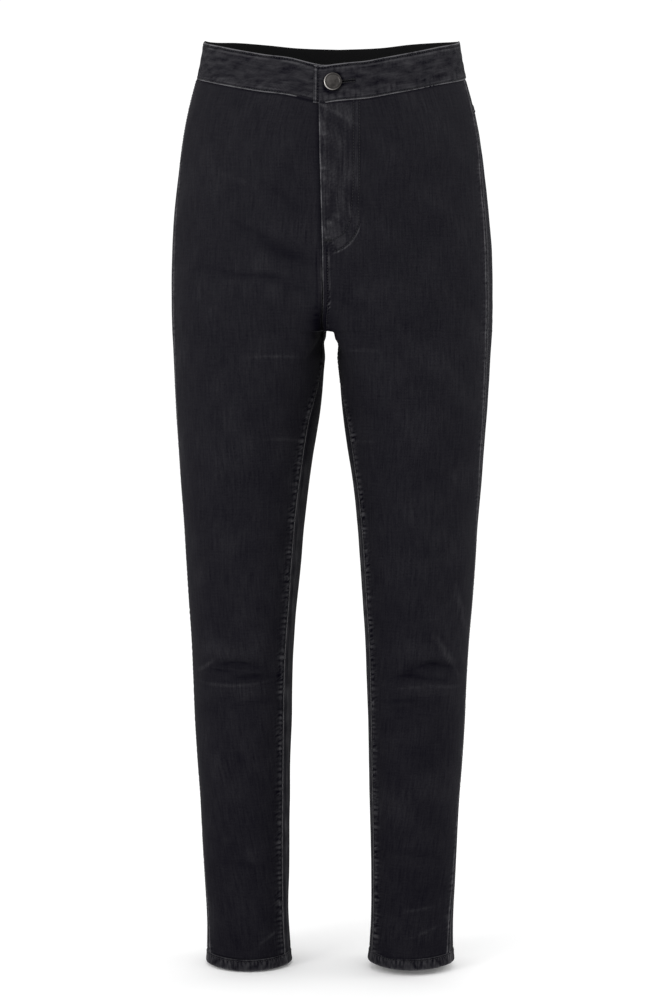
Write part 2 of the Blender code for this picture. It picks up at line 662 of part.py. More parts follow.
def build_button(collection, finish):
    """Tack button: a dished cap with a rolled rim, a shank, a nail and the rivet behind."""
    seat = BAND_PROUD + SEAM_GAP
    shank_end = -(BAND_CLOTH - BAND_PROUD)
    rivet = shank_end - SEAM_GAP - BAND_CLOTH - SEAM_GAP
    profile = [(share * BUTTON_RADIUS, seat + height) for share, height in CAP_PROFILE]
    profile += [
        (SHANK_RADIUS, seat),
        (SHANK_RADIUS, shank_end),
        (NAIL_RADIUS, shank_end),
        (NAIL_RADIUS, rivet),
    ]
    profile += [(radius, rivet - depth) for radius, depth in RIVET_PROFILE]
    mesh = bpy.data.meshes.new("button")
    points = [(radius, 0.0, height) for radius, height in profile]
    mesh.from_pydata(points, [(i, i + 1) for i in range(len(points) - 1)], [])
    button = add_object("button", mesh, collection, finish)
    turn = button.modifiers.new("turn", "SCREW")
    turn.axis = "Z"
    turn.steps = turn.render_steps = ROUND_STEPS
    turn.use_merge_vertices = True
    turn.merge_threshold = 0.00001
    turn.use_smooth_shade = True
    button.matrix_world = button_matrix()
    return button


def build_hems(collection, finish):
    """Each hem is the cloth turned up twice: a ring under both panels, a little proud."""
    height, depth = folded_section(HEM_EDGES, HEM_CLOTH)
    down = 2 + (HEM_Z + height * HEM_HEIGHT - CROTCH_Z) / (HEM_Z - CROTCH_Z)
    around = np.linspace(0, 2, 2 * HEM_COLUMNS, endpoint=False)
    around, down = np.meshgrid(around, down, indexing="ij")
    edge = np.zeros_like(around)
    points = skin(around, down, waist_seam_z, edge)
    normal = normals_of(around, down, waist_seam_z, edge)
    normal[..., 2] = 0
    normal /= np.linalg.norm(normal, axis=-1, keepdims=True)
    points = points - normal * (depth - HEM_PROUD)[:, None]
    for side, half in (("left", LEFT), ("right", RIGHT)):
        loft(f"hem_{side}", points * (half, 1, 1), collection, finish, closed=True)


def build_fly(collection, cloth, metal):
    """Shield, zip tape with its closed chain, and the slider at its top, all behind the lap."""
    outer, inner = SHIELD_DEPTH
    x = np.linspace(SHIELD_X[0], SHIELD_X[1], SHIELD_COLUMNS)
    shield = [(at, outer) for at in x] + [(at, inner) for at in x[::-1]]
    strip("fly_shield", shield, SHIELD_END_Z, collection, cloth)

    chain0, chain1 = ZIP_CHAIN_X
    x = (ZIP_X[0], chain0 - ZIP_CHAIN_SLOPE, chain0, chain1, chain1 + ZIP_CHAIN_SLOPE, ZIP_X[1])
    on_chain = np.array([0, 0, 1, 1, 0, 0])
    outside, inside = (
        tape + (chain - tape) * on_chain for tape, chain in zip(ZIP_TAPE_DEPTH, ZIP_CHAIN_DEPTH)
    )
    tape = list(zip(x, outside)) + list(zip(x[::-1], inside[::-1]))
    strip("zip_tape", tape, ZIP_END_Z, collection, cloth)
    build_slider(collection, metal)


def build_slider(collection, finish):
    """The slider's plate and its pull tab, folded down flat on the chain."""
    middle = sum(ZIP_CHAIN_X) / 2
    thick = SLIDER_DEPTH[1] - SLIDER_DEPTH[0]
    outline = [(half_width, -down) for down, half_width in SLIDER_OUTLINE]
    outline += [(-half_width, -down) for down, half_width in SLIDER_OUTLINE[::-1]]
    curve = bpy.data.curves.new("zip_slider", "CURVE")
    curve.dimensions = "2D"
    curve.fill_mode = "BOTH"
    curve.extrude = thick / 2
    spline = curve.splines.new("POLY")
    spline.points.add(len(outline) - 1)
    for point, (x, y) in zip(spline.points, outline):
        point.co = (x, y, 0, 1)
    spline.use_cyclic_u = True
    slider = add_object("zip_slider", curve, collection)
    curve.materials.append(finish)

    depth = sum(SLIDER_DEPTH) / 2
    top_z = waist_seam_z(0.0) - SLIDER_BELOW_SEAM
    long, half_width = SLIDER_OUTLINE[-1]
    top = Vector(body_point(middle, top_z, depth))
    low = Vector(body_point(middle, top_z - long, depth))
    aside = Vector(body_point(middle + half_width, top_z, depth)) - top
    y_axis = (top - low).normalized()
    z_axis = aside.cross(y_axis).normalized()
    x_axis = y_axis.cross(z_axis)
    turned = Matrix((x_axis, y_axis, z_axis)).transposed().to_4x4()
    slider.matrix_world = Matrix.Translation(top) @ turned


def main():
    for obj in list(bpy.data.objects):
        bpy.data.objects.remove(obj)
    jeans = bpy.data.collections.new("skinny_jeans")
    cutters = bpy.data.collections.new("cutters")
    for collection in (jeans, cutters):
        bpy.context.scene.collection.children.link(collection)
    cutters.hide_render = True

    denim = material("denim", DENIM, 0.9)
    worn = material("denim_worn", DENIM_WORN, 0.9)
    inside = material("denim_inside", DENIM_INSIDE, 0.95)
    gunmetal = material("gunmetal", GUNMETAL, 0.35, 1.0)
    zip_metal = material("zip_metal", ZIP_METAL, 0.4, 1.0)

    build_fronts(jeans, denim)
    build_backs(jeans, denim)
    build_yokes(jeans, denim)
    build_waistband(jeans, cutters, worn)
    build_hems(jeans, worn)
    build_fly(jeans, inside, zip_metal)
    build_button(jeans, gunmetal)


main()
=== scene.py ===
# %% [markdown]
# # Skinny jeans in washed black denim
#
# These are high-waisted, ankle-length jeans in stretch denim. They stand filled out as if worn,
# with nobody in them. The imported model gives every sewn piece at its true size. This notebook
# dresses each piece in cloth of the same form on a finer grid. The grid holds the folds, the
# puckers along the seams, the rubbed edges and the stitches, and the last cells add the camera
# and the light.

import math

import bpy
import numpy as np
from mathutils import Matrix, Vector


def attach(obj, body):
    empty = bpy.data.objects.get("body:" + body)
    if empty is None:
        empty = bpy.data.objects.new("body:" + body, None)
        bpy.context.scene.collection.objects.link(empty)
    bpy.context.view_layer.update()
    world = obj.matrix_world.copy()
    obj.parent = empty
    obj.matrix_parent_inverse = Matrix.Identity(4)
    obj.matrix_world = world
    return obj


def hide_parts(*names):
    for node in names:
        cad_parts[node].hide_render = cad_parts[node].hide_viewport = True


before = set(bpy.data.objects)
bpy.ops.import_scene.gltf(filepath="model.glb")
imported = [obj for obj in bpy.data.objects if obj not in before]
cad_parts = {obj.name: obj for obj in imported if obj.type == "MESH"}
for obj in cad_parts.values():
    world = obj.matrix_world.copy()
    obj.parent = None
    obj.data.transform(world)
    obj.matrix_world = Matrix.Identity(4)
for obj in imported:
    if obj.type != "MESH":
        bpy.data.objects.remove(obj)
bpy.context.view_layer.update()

# %% [markdown]
# ## The form of the jeans
#
# Each half of a pair of jeans starts as half a barrel at the waist and ends as a closed tube at
# the hem. A table of sections gives half widths and depths at each height, and smooth curves run
# between its rows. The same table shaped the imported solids, so cloth that is made from it lies
# on them. Lengths are in metres, but for the tables marked as millimetres. +Z is up, and the
# wearer faces -Y.

# %% Sizes of the form
CLOTH = 0.0012
BAND_CLOTH = 0.0024
HEM_CLOTH = 0.0028

RIM_AT_SIDES = 0.020
RIM_DIP_FRONT = 0.0336
RIM_RISE_BACK = 0.0017
RIM_DIP_POWER = 0.88
RIM_ROUND = 0.05
BAND_HEIGHT = 0.039
BAND_PROUD = 0.0005
YOKE_AT_SIDE_SHARE = 0.18
YOKE_AT_CENTRE = 0.064

HIP_Z = -0.210
CROTCH_Z = -0.2885
HEM_Z = -0.986
HEM_HEIGHT = 0.013
HEM_PROUD = 0.0003

CROTCH_TURN_FRONT = 0.6
CROTCH_TURN_BACK = 1.1
THIGH_ROUND_Z = -0.385
CROTCH_REACH = math.radians(62)
CROTCH_SPREAD = 0.6
INSEAM_POWER = 7.0
GAP_HALF = 0.0066  # the gap between the legs starts this wide each way, just under the crotch
GAP_START = 0.0016
SIDE_TURN_WAIST = math.radians(83)
SIDE_TURN_HIP = math.radians(77.3)
SIDE_TURN_Z = (-0.062, -0.150)
CROWD_START_Z = -0.095

SECTION_COLUMNS = ("z", "outer", "inner", "front", "back")
SECTIONS = np.array([  # millimetres
    (26, 136.2, 0, 96.2, 99.2), (1, 140.2, 0, 99.2, 103), (-20, 144.6, 0, 103, 107),
    (-42, 150.6, 0, 106.4, 110.8), (-63, 155.6, 0, 109.2, 114.8), (-106, 163.3, 0, 113.8, 124),
    (-149, 168.9, 0, 115.8, 130.8), (-192, 172.4, 0, 115.4, 134), (-235, 173.8, 0, 112, 130.6),
    (-288.5, 173.7, 0, 102, 113), (-294, 173.4, 4.6, 100.8, 110.4), (-321, 172, 7.8, 95.5, 98.5),
    (-364, 169.6, 11.4, 89.6, 86.8), (-408, 166.5, 16.9, 85.2, 78.4),
    (-452, 163.5, 23.6, 81.2, 72.2), (-495, 160, 28.9, 77.4, 67.2), (-539, 157.4, 32.8, 73.4, 63.2),
    (-583, 154.6, 35.8, 69.6, 60.2), (-627, 151.4, 39.3, 66.4, 58.4),
    (-672, 149.3, 41.2, 62.2, 58.4), (-716, 147.8, 42.4, 55.2, 62), (-760, 145.2, 43.4, 48, 66),
    (-805, 141.8, 44.6, 41.2, 68), (-850, 139.6, 45.6, 35.2, 66.4), (-895, 137.6, 46, 30.4, 64.2),
    (-940, 136.2, 45.8, 27.4, 62.2), (-986, 137.4, 43.2, 26.2, 62.2),
]) / 1000

SEAM_COLUMNS = ("z", "side_seam", "inseam")
SEAM_DEGREES = np.array([
    (CROTCH_Z, 18.0, 0.0),
    (-0.330, 16.0, 10.0),
    (-0.380, 14.0, 24.0),
    (-0.452, 12.0, 27.0),
    (-0.539, 3.0, 27.0),
    (-0.716, 2.0, 27.0),
    (-0.850, 9.0, 26.0),
    (-0.986, 23.0, 24.0),
])

# %% [markdown]
# ## The skin
#
# Every point of the cloth has two parameters. "Around" runs from the front edge, 0, over the side
# seam, 1, to the back edge, 2. "Down" runs from the waist seam, 0, over the hip line, 1, and the
# crotch, 2, to the hem, 3. A tailor's pattern is drawn in the same two directions, which is why
# seams, stitches and puckers are easy to place with them.

# %% The skin as a function
def read_table(table, names, column, z):
    """One column of a table at the heights z: a cubic through the rows, flat beyond them."""
    heights = table[::-1, 0]
    values = table[::-1, names.index(column)]
    slopes = np.gradient(values, heights)
    z = np.clip(z, heights[0], heights[-1])
    low = np.clip(np.searchsorted(heights, z) - 1, 0, len(heights) - 2)
    step = heights[low + 1] - heights[low]
    t = (z - heights[low]) / step
    rise = values[low] * (1 + 2 * t) * (1 - t) ** 2 + values[low + 1] * t**2 * (3 - 2 * t)
    bend = step * t * (1 - t) * (slopes[low] * (1 - t) - slopes[low + 1] * t)
    return rise + bend


def section(column, z):
    return read_table(SECTIONS, SECTION_COLUMNS, column, z)


def seam_angle(column, z):
    return np.radians(read_table(SEAM_DEGREES, SEAM_COLUMNS, column, z))


def ramp(value, start, end):
    """Runs smoothly from 0 at start to 1 at end."""
    t = np.clip((value - start) / (end - start), 0, 1)
    return t * t * (3 - 2 * t)


def bell(value, middle, width):
    """1 at the middle, falling smoothly to nothing a few widths away."""
    return np.exp(-(((value - middle) / width) ** 2))


def unit(vectors):
    """The same directions at length 1."""
    return vectors / np.linalg.norm(vectors, axis=-1, keepdims=True)


def angle_off(turn):
    """How far an angle is from 0, the shorter way round."""
    return np.abs((turn + math.pi) % (2 * math.pi) - math.pi)


def rim_z(turn):
    """Height of the waistband's top edge; turn is the angle from the middle of the front."""
    turn = angle_off(turn)
    rounded = np.hypot(turn, RIM_ROUND) - RIM_ROUND
    front = np.clip(rounded / (math.pi / 2 - RIM_ROUND), 0, 1)
    dip = RIM_DIP_FRONT * (1 - front**RIM_DIP_POWER)
    rise = RIM_RISE_BACK * np.where(turn > math.pi / 2, np.cos(turn) ** 2, 0)
    return RIM_AT_SIDES - dip + rise


def waist_seam_z(turn):
    return rim_z(turn) - BAND_HEIGHT


def yoke_seam_z(turn):
    """The seam under the yoke drops from the side seams to the middle of the back."""
    at_side = YOKE_AT_SIDE_SHARE * (waist_seam_z(SIDE_TURN_WAIST) - HIP_Z)
    share = np.clip((turn - SIDE_TURN_WAIST) / (math.pi - SIDE_TURN_WAIST), 0, 1)
    return waist_seam_z(turn) - at_side - (YOKE_AT_CENTRE - at_side) * share


def side_turn(z):
    return SIDE_TURN_WAIST + (SIDE_TURN_HIP - SIDE_TURN_WAIST) * ramp(z, *SIDE_TURN_Z)


def body_angle(around, edge_turn, side=SIDE_TURN_WAIST):
    """Angle from the middle of the front: edge_turn at the front edge, half a turn at the back."""
    front = edge_turn + np.clip(around, 0, 1) * (side - edge_turn)
    back = side + (around - 1) * (math.pi - side)
    return np.where(around <= 1, front, back)


def leg_angle(around, z):
    """Angle from the innermost point of the leg over its front: the inseam at 0 and at 2."""
    inseam = seam_angle("inseam", z)
    side = math.pi - seam_angle("side_seam", z)
    front = inseam + around * (side - inseam)
    back = side + (around - 1) * (2 * math.pi + inseam - side)
    return np.where(around <= 1, front, back)


def skin(around, down, top_z, edge_x=0.0):
    """Points of the half on the +X side. Above the hips a section is half an ellipse, and down
    the leg a closed ellipse. In between a point keeps its distance from the middle, and its depth
    goes from one to the other: at once at the inner edges, which draws the U of the crotch seam,
    and slowly over the thigh."""
    around, down = np.broadcast_arrays(np.float64(around), np.float64(down))
    under = np.radians(np.clip(down - 1, 0, 1) * 90)
    waist = section("outer", top_z(0.0))
    start_z = top_z(body_angle(around, np.arcsin(edge_x / waist)))
    z = np.where(down < 1, start_z + (HIP_Z - start_z) * down, HIP_Z)
    z = np.where(down >= 1, HIP_Z + (CROTCH_Z - HIP_Z) * np.sin(under), z)
    z = np.where(down >= 2, CROTCH_Z + (HEM_Z - CROTCH_Z) * (down - 2), z)

    outer, inner = section("outer", z), section("inner", z)
    gap = GAP_HALF * ramp(z, CROTCH_Z, CROTCH_Z - GAP_START)
    inner = np.where(z < CROTCH_Z, np.maximum(inner, gap), 0)
    front, back = section("front", z), section("back", z)

    leg_turn = leg_angle(around, z)
    opening = INSEAM_POWER + (1 - INSEAM_POWER) * ramp(z, CROTCH_Z, THIGH_ROUND_Z)
    leg_x = outer * (1 - np.cos(leg_turn)) / 2 + inner * ((1 + np.cos(leg_turn)) / 2) ** opening
    leg_y = (back - front) / 2 - (front + back) / 2 * np.sin(leg_turn)

    edge_turn = np.arcsin(edge_x / outer)
    turn = body_angle(around, edge_turn, side_turn(z))
    same_x = np.arcsin(np.clip(leg_x / outer, -1, 1))
    in_back = (leg_turn > math.pi) & (leg_turn <= 2 * math.pi)
    same_x = np.where(in_back, math.pi - same_x, same_x)
    same_x = same_x + edge_turn * np.clip(1 - around, 0, 1)
    turn = turn + (same_x - turn) * ramp(z, CROWD_START_Z, HIP_Z)
    reach = np.where(np.cos(turn) > 0, front, back)
    body_y = -reach * np.cos(turn)

    off_edge = angle_off(leg_turn) / CROTCH_REACH
    fall = (HIP_Z - z) / (HIP_Z - CROTCH_Z) / (1 + CROTCH_SPREAD * off_edge)
    power = np.where(around < 1, CROTCH_TURN_FRONT, CROTCH_TURN_BACK)
    at_edge = 1 - (1 - np.clip(fall, 0, 1) ** 2) ** (power / 2)
    thigh = ramp(z, HIP_Z, THIGH_ROUND_Z)
    merge = thigh + (at_edge - thigh) * (1 - ramp(off_edge, 0, 1))
    merge = np.where(down < 1, 0, merge)
    return np.stack([outer * np.sin(turn), body_y + (leg_y - body_y) * merge, z], -1)


def body_point(x, z, depth):
    """A point of the front at x and z, this deep below the skin."""
    x, z, depth = np.broadcast_arrays(np.float64(x), np.float64(z), np.float64(depth))
    wide, front = section("outer", z), section("front", z)
    y = -front * np.sqrt(1 - (x / wide) ** 2)
    normal = unit(np.stack([x / wide**2, y / front**2, np.zeros_like(z)], -1))
    return np.stack([x, y, z], -1) - normal * depth[..., None]

# %% [markdown]
# ### How this pair hangs
#
# The form above is even on both sides, but a worn pair isn't. The waistband sags a little on the
# wearer's left and stands higher over the hips. Both calves and the lowest part of the crotch
# seam lean a few millimetres to the wearer's right, and the hems dip in front. One function
# moves every finished piece of cloth in the same way, so seams that meet stay together.

# %% Let the cloth settle
HANG_COLUMNS = ("turn", "rise")
HANG = np.array([
    (180, 0.0), (152, 0.0012), (135, 0.0036), (118, 0.0036), (104, 0.0020), (88, -0.0006),
    (66, -0.0002), (50, -0.0016), (36, -0.0025), (25, -0.0031), (15, -0.0019), (6, -0.0008),
    (0, 0.0), (-8, 0.0008), (-20, 0.0024), (-34, 0.0018), (-50, 0.0024), (-66, 0.0032),
    (-88, 0.0022), (-104, 0.0036), (-118, 0.0054), (-135, 0.0044), (-152, 0.0018), (-180, 0.0),
])
HANG_Z = (-0.160, -0.060)
LEAN = -0.0035
LEAN_Z = (-0.42, -0.88)
CROTCH_LEAN = -0.0035
CROTCH_LEAN_WIDTH, CROTCH_LEAN_HEIGHT = 0.030, 0.020
CALF_OUT = 0.0018
CALF_Z, CALF_HEIGHT = -0.865, 0.12
CALF_X = (0.08, 0.13)
RIGHT_HEM_DROP = 0.0052
HEM_DIP = 0.0018
HEM_DIP_Z = (-0.870, -0.975)
HEM_DIP_Y = (0.020, -0.020)
HEM_MIDDLE_X, HEM_DIP_WIDTH = 0.088, 0.034


def settle(points):
    """Moves points by a few millimetres. Near the waist they rise or sag by the angle from the
    middle of the front. The crotch leans sideways with the right leg under it, but not the left
    one. Further down both legs lean, the calves stand wider outside, and the hems drop."""
    x, y, z = np.moveaxis(points, -1, 0)
    degrees = np.degrees(np.arctan2(x, -y))
    rise = read_table(HANG, HANG_COLUMNS, "rise", degrees) * ramp(z, *HANG_Z)
    dip = HEM_DIP * bell(np.abs(x), HEM_MIDDLE_X, HEM_DIP_WIDTH) * ramp(y, *HEM_DIP_Y)
    drop = (RIGHT_HEM_DROP * (x < 0) + dip) * ramp(z, *HEM_DIP_Z)
    crotch = bell(x, 0, CROTCH_LEAN_WIDTH) * bell(z, CROTCH_Z + 0.004, CROTCH_LEAN_HEIGHT)
    left_leg = (x > 0) * ramp(z, CROTCH_Z, CROTCH_Z - GAP_START)
    lean = LEAN * ramp(z, *LEAN_Z) + CROTCH_LEAN * crotch * (1 - left_leg)
    widen = np.sign(x) * CALF_OUT * ramp(np.abs(x), *CALF_X) * bell(z, CALF_Z, CALF_HEIGHT)
    return np.stack([x + (lean + widen), y, z + rise - drop], -1)

# %% [markdown]
# ## Folds and creases
#
# Cloth that is filled out by a leg creases where the leg bends. The largest folds are the ones
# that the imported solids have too, and finer creases run between and beside them. Each row is one
# fold: a trough or a ridge with soft sides that fades out to both ends. They differ in length,
# slant, depth and spacing, because no two folds of worn cloth are alike. A row gives the x and z
# of its middle, its length, slant, droop, width and height, in millimetres and degrees.

# %% Tables of folds
FOLD_UNITS = np.array((1, 1, 1, math.radians(1000), 1, 1, 1)) / 1000  # metres and radians
FOLD_FACING = 0.5  # how squarely the cloth faces front or back where a fold has its full height
FRONT, BACK = 1, -1
LEFT, RIGHT = 1, -1
RIDGE_MEAN = 0.64
FOLDS = {
    (RIGHT, FRONT): (
        (44, -203.5, 100, 24, -7, 8.5, -3.4), (50, -184, 105, 24, -7, 11, 2),
        (94, -648, 75, 5, 3, 5.8, -3.6), (78, -661, 60, -4, 3, 5.5, -3),
        (100, -632, 85, 4, 5, 11, 3), (96, -674, 85, 1, 3, 8, 2.4),
    ),
    (LEFT, FRONT): (
        (116, -644, 75, 0, 16, 5.8, -3.6), (91, -656, 65, 0, 11, 5.5, -3),
        (104, -629, 85, -4, 10, 11, 2.8), (108, -672, 80, -3, 4, 8, 2.4),
    ),
    (RIGHT, BACK): (
        (98, -618, 90, 6, 4, 9, -4), (92, -656, 100, -5, 6, 9, -5.2),
        (98, -700, 85, 8, 4, 10, -3.6), (80, -308, 110, 14, 6, 11, -4.6),
    ),
    (LEFT, BACK): (
        (94, -622, 95, -7, 6, 9, -4.4), (98, -660, 90, 4, 4, 9, -4.8),
        (92, -705, 80, -6, 4, 10, -3.4), (84, -311, 105, 12, 6, 11, -4.2),
    ),
}
CREASES = {
    (RIGHT, FRONT): (
        (68, -230.5, 95, 3, 3, 2.8, -1), (40, -208, 95, 23, -6, 5, -0.4),
        (42, -148, 75, 38, 2, 5, -0.6), (70, -186.5, 75, 25, -2, 3, -0.5),
        (36, -240, 80, 21, -1, 3.4, -0.7), (108, -225, 70, 12, 2, 3, -0.5),
        (88, -132, 75, 21, 1, 2.5, 0.3), (53, -315, 85, 0, 2, 1.6, 0.6),
        (46, -403.2, 55, 2, 2, 1.6, 0.6), (91.5, -644.3, 54, 5, 8, 1.5, -1.1),
        (110.4, -653.5, 40, 4, 1, 1.4, -1.1), (78, -659.8, 54, 0, 3, 1.4, -0.8),
        (129, -649.5, 36, -37, -2, 2, 1), (98, -669, 105, -2, -5, 1.6, 0.8),
        (86, -653.5, 50, 7, 1, 1.6, 0.7), (80, -689, 60, -6, 2, 3, -0.6),
        (94, -872, 70, 7, 3, 4, -0.5), (64, -950, 36, -33, 1, 1.6, 0.7),
    ),
    (LEFT, FRONT): (
        (32, -260, 70, -24, 2, 5.5, -0.5), (36, -308.8, 58, 1, 2, 1.6, 0.6),
        (37, -405.8, 45, 4, 2, 1.6, 0.5), (17.5, -64, 64, -26, 1, 1.8, 1),
        (117, -643.7, 60, -2, 13, 1.5, -0.9), (91, -656.3, 56, 0, 9, 1.5, -0.8),
        (118, -660, 34, -12, 2, 1.4, -0.7), (125, -669, 50, -8, -2, 1.6, 0.6),
        (90, -669, 46, 5, 1, 1.3, 0.5), (130, -635, 80, -61, 3, 2.4, 1.2),
        (142, -580, 110, -78, 1, 2.4, 0.6), (84, -684, 60, 7, 2, 3, -0.6),
        (96, -856, 65, -6, 3, 4, -0.5), (101, -918.5, 56, 8, 1, 1.6, 0.6),
        (107, -944, 44, 21, 1, 1.6, 0.6),
    ),
    (RIGHT, BACK): (
        (110, -592, 70, 12, 4, 4, -0.9), (84, -636, 60, -12, 3, 2.6, 0.4),
        (104, -678, 75, 4, 3, 2.8, -1), (98, -619, 70, 6, 4, 1.8, -0.9),
        (93, -657, 80, -5, 6, 1.8, -1), (86, -726, 60, -9, 3, 4, -0.9),
        (92, -915, 70, 8, 3, 5, -0.7), (66, -326, 80, 17, 4, 3, -0.9),
        (80, -309, 80, 14, 6, 2.2, -0.9), (60, -248, 80, 30, 4, 5, -0.7),
    ),
    (LEFT, BACK): (
        (86, -598, 70, -11, 4, 4, -0.9), (106, -640, 65, 10, 3, 2.6, 0.4),
        (84, -683, 70, -4, 3, 2.8, -1), (94, -623, 74, -7, 6, 1.8, -1),
        (98, -661, 70, 4, 4, 1.8, -0.9), (104, -731, 55, 9, 3, 4, -0.8),
        (96, -904, 70, -7, 3, 5, -0.7), (70, -330, 80, 15, 4, 3, -0.9),
        (84, -312, 80, 12, 6, 2.2, -0.9), (62, -244, 80, 28, 4, 5, -0.7),
    ),
}


def fold_height(points, normal, half, folds):
    """What the folds add along the normal: bell-shaped across, fading out to both ends."""
    total = np.zeros(points.shape[:-1])
    for face in (FRONT, BACK):
        facing = ramp(-normal[..., 1] * face, 0, FOLD_FACING)
        for row in folds[half, face]:
            x, z, length, slant, droop, width, height = np.multiply(row, FOLD_UNITS)
            dx, dz = points[..., 0] - x, points[..., 2] - z
            along = (dx * math.cos(slant) + dz * math.sin(slant)) / (length / 2)
            off = dz * math.cos(slant) - dx * math.sin(slant) + droop * along**2
            fade = np.clip(1 - along**2, 0, 1) ** 2
            total += height * bell(off, 0, width) * fade * facing
    return total


def waves(position, length, seed, terms=6):
    """A smooth seeded wander of about -1 to 1: sines of lengths near the given one, in seeded
    directions over the coordinates in the list."""
    random = np.random.default_rng(seed)
    total = 0
    for _ in range(terms):
        way = random.normal(size=len(position))
        way /= np.linalg.norm(way)
        scale = length * random.uniform(0.6, 1.7)
        walked = sum(share * axis for share, axis in zip(way, position))
        total = total + np.sin(2 * math.pi * walked / scale + random.uniform(0, 2 * math.pi))
    return total / math.sqrt(terms)


def varied(position, length, seed, middle, spread, low, high):
    """A factor that wanders like waves round its middle, held between low and high."""
    return np.clip(middle + spread * waves(position, length, seed), low, high)


def ridges(turns):
    """Round ridges with sharp valleys, one for each turn, about as much above 0 as below."""
    return np.abs(np.sin(math.pi * turns)) - RIDGE_MEAN


large, fine = (sum(map(len, folds.values())) for folds in (FOLDS, CREASES))
print(large, "large folds and", fine, "finer creases")

# %% [markdown]
# ## A panel of cloth
#
# A panel is cut with its edges along the seams, so its grid is laid out from the seams too. The
# outermost columns stand at fixed distances from both edges, a fraction of a millimetre apart
# where the edge is rounded, and the rest share out the middle. Height along the normal and wear
# are then arrays of the same shape, to which seams, puckers and folds each add their part.

# %% Panels as grids
SAMPLES = 200
EDGE_DISTANCES = np.array(
    [0, 0.25, 0.6, 1.1, 1.8, 2.6, 3.5, 4.5, 5.6, 6.5, 7.3, 8.3, 9.8, 11.8]
) / 1000
MIDDLE_COLUMNS = 38
FLY_DISTANCES = np.concatenate([
    EDGE_DISTANCES, np.arange(0.0137, 0.0340, 0.0020), np.arange(0.0350, 0.0465, 0.0010)
])
FLY_MIDDLE_COLUMNS = 22
ROW_STEP = {"front": 0.0015, "back": 0.0020}
TUCK = 0.0035  # how far a panel runs up into the waistband and down into the hem
TUCK_SINK = 0.0006


def walk(points, axis):
    """Distance walked from the first point along an axis of a grid of points."""
    steps = np.linalg.norm(np.diff(points, axis=axis), axis=-1)
    start = np.zeros_like(np.take(steps, [0], axis=axis))
    return np.concatenate([start, np.cumsum(steps, axis=axis)], axis=axis)


def grid_normals(points):
    """Outward unit normals: down the grid crossed with around it."""
    return unit(np.cross(np.gradient(points, axis=0), np.gradient(points, axis=1)))


class Panel:
    """One piece of the skin as a grid, in the coordinates of the half on the +X side."""

    def __init__(self, half, place, rows, start, end, near=EDGE_DISTANCES, count=MIDDLE_COLUMNS):
        dense = np.linspace(start, end, SAMPLES)
        walked = walk(place(dense[None, :], rows[:, None]), axis=1)
        width = walked[:, -1:]
        share = np.linspace(0, 1, count + 2)[1:-1]
        middle = near[-1] + (width - near[-1] - EDGE_DISTANCES[-1]) * share
        self.half = half
        self.mirror = np.array((half, 1, 1))
        self.first = np.concatenate(
            [near + 0 * width, middle, width - EDGE_DISTANCES[::-1]], axis=1
        )
        self.last = width - self.first
        around = np.array([np.interp(*row, dense) for row in zip(self.first, walked)])
        self.points = place(around, rows[:, None])
        self.normal = grid_normals(self.points)
        self.from_top = walk(self.points, axis=0)
        self.from_bottom = self.from_top[-1] - self.from_top
        self.x, self.z = self.points[..., 0], self.points[..., 2]
        self.sink = np.zeros_like(self.z)
        self.height = fold_height(self.points, self.normal, half, FOLDS)
        self.crease = fold_height(self.points, self.normal, half, CREASES)
        self.fine = self.crease
        # Wear from -1 to 1, which in a few places also holds painted shade.
        self.wear = np.zeros_like(self.z)
        self.gather = np.zeros_like(self.z)  # how hard a seam's thread pulls at the cloth
        self.to_seam = self.first  # distance from the seam at the first edge

    def add(self, height, wear):
        """Adds low relief, which the cloth's face has and its back doesn't."""
        self.fine = self.fine + height
        self.wear = self.wear + wear

    def wander(self, length, seed, steep=1.0):
        """Waves over the panel, in its distance from the last edge and its height."""
        return waves([self.last, steep * self.z], length, seed)

    def faces_of_cloth(self):
        """Grids of the outer and the inner face, mirrored to their own side."""
        outer = self.points + self.normal * (self.height + self.fine - self.sink)[..., None]
        inner = self.points + self.normal * (self.height - self.sink - CLOTH)[..., None]
        return settle(outer * self.mirror), settle(inner * self.mirror)

# %% [markdown]
# ## Seams, puckers and wear
#
# A flat-felled or topstitched seam has one side turned under and laid on the other. The turned
# side is thicker up to its stitches and the wash rubs its edge pale. The thread draws the cloth
# together, so short ridges, the puckers, run away from it. Between them lie gathers too fine for
# the grid, which only stores their strength for the material. All this is most of what makes
# denim look like denim from a step away.

# %% Relief beside the seams
GROOVE = 0.00045
EDGE_ROUND = 0.0008
TURNING = 0.0068
TURNING_STEP = 0.0016
TURNING_RISE = 0.0007
TURNING_RUB = 0.0008
RUBBED_FROM = 0.0004
GROOVE_WIDTH = 0.0003
STITCH_LINE = 0.0058
LEG_STITCH_LINE = 0.0023
STITCH_SINK = 0.00035
STITCH_WIDTH = 0.0007
PUCKER = 0.0062
PUCKER_MIDDLE = 0.0055
PUCKER_REACH = 0.0052
FULL_PUCKER = 0.0006
PUCKER_WEAR = 0.28
GATHER_MIDDLE = 0.0060
GATHER_REACH = 0.0075


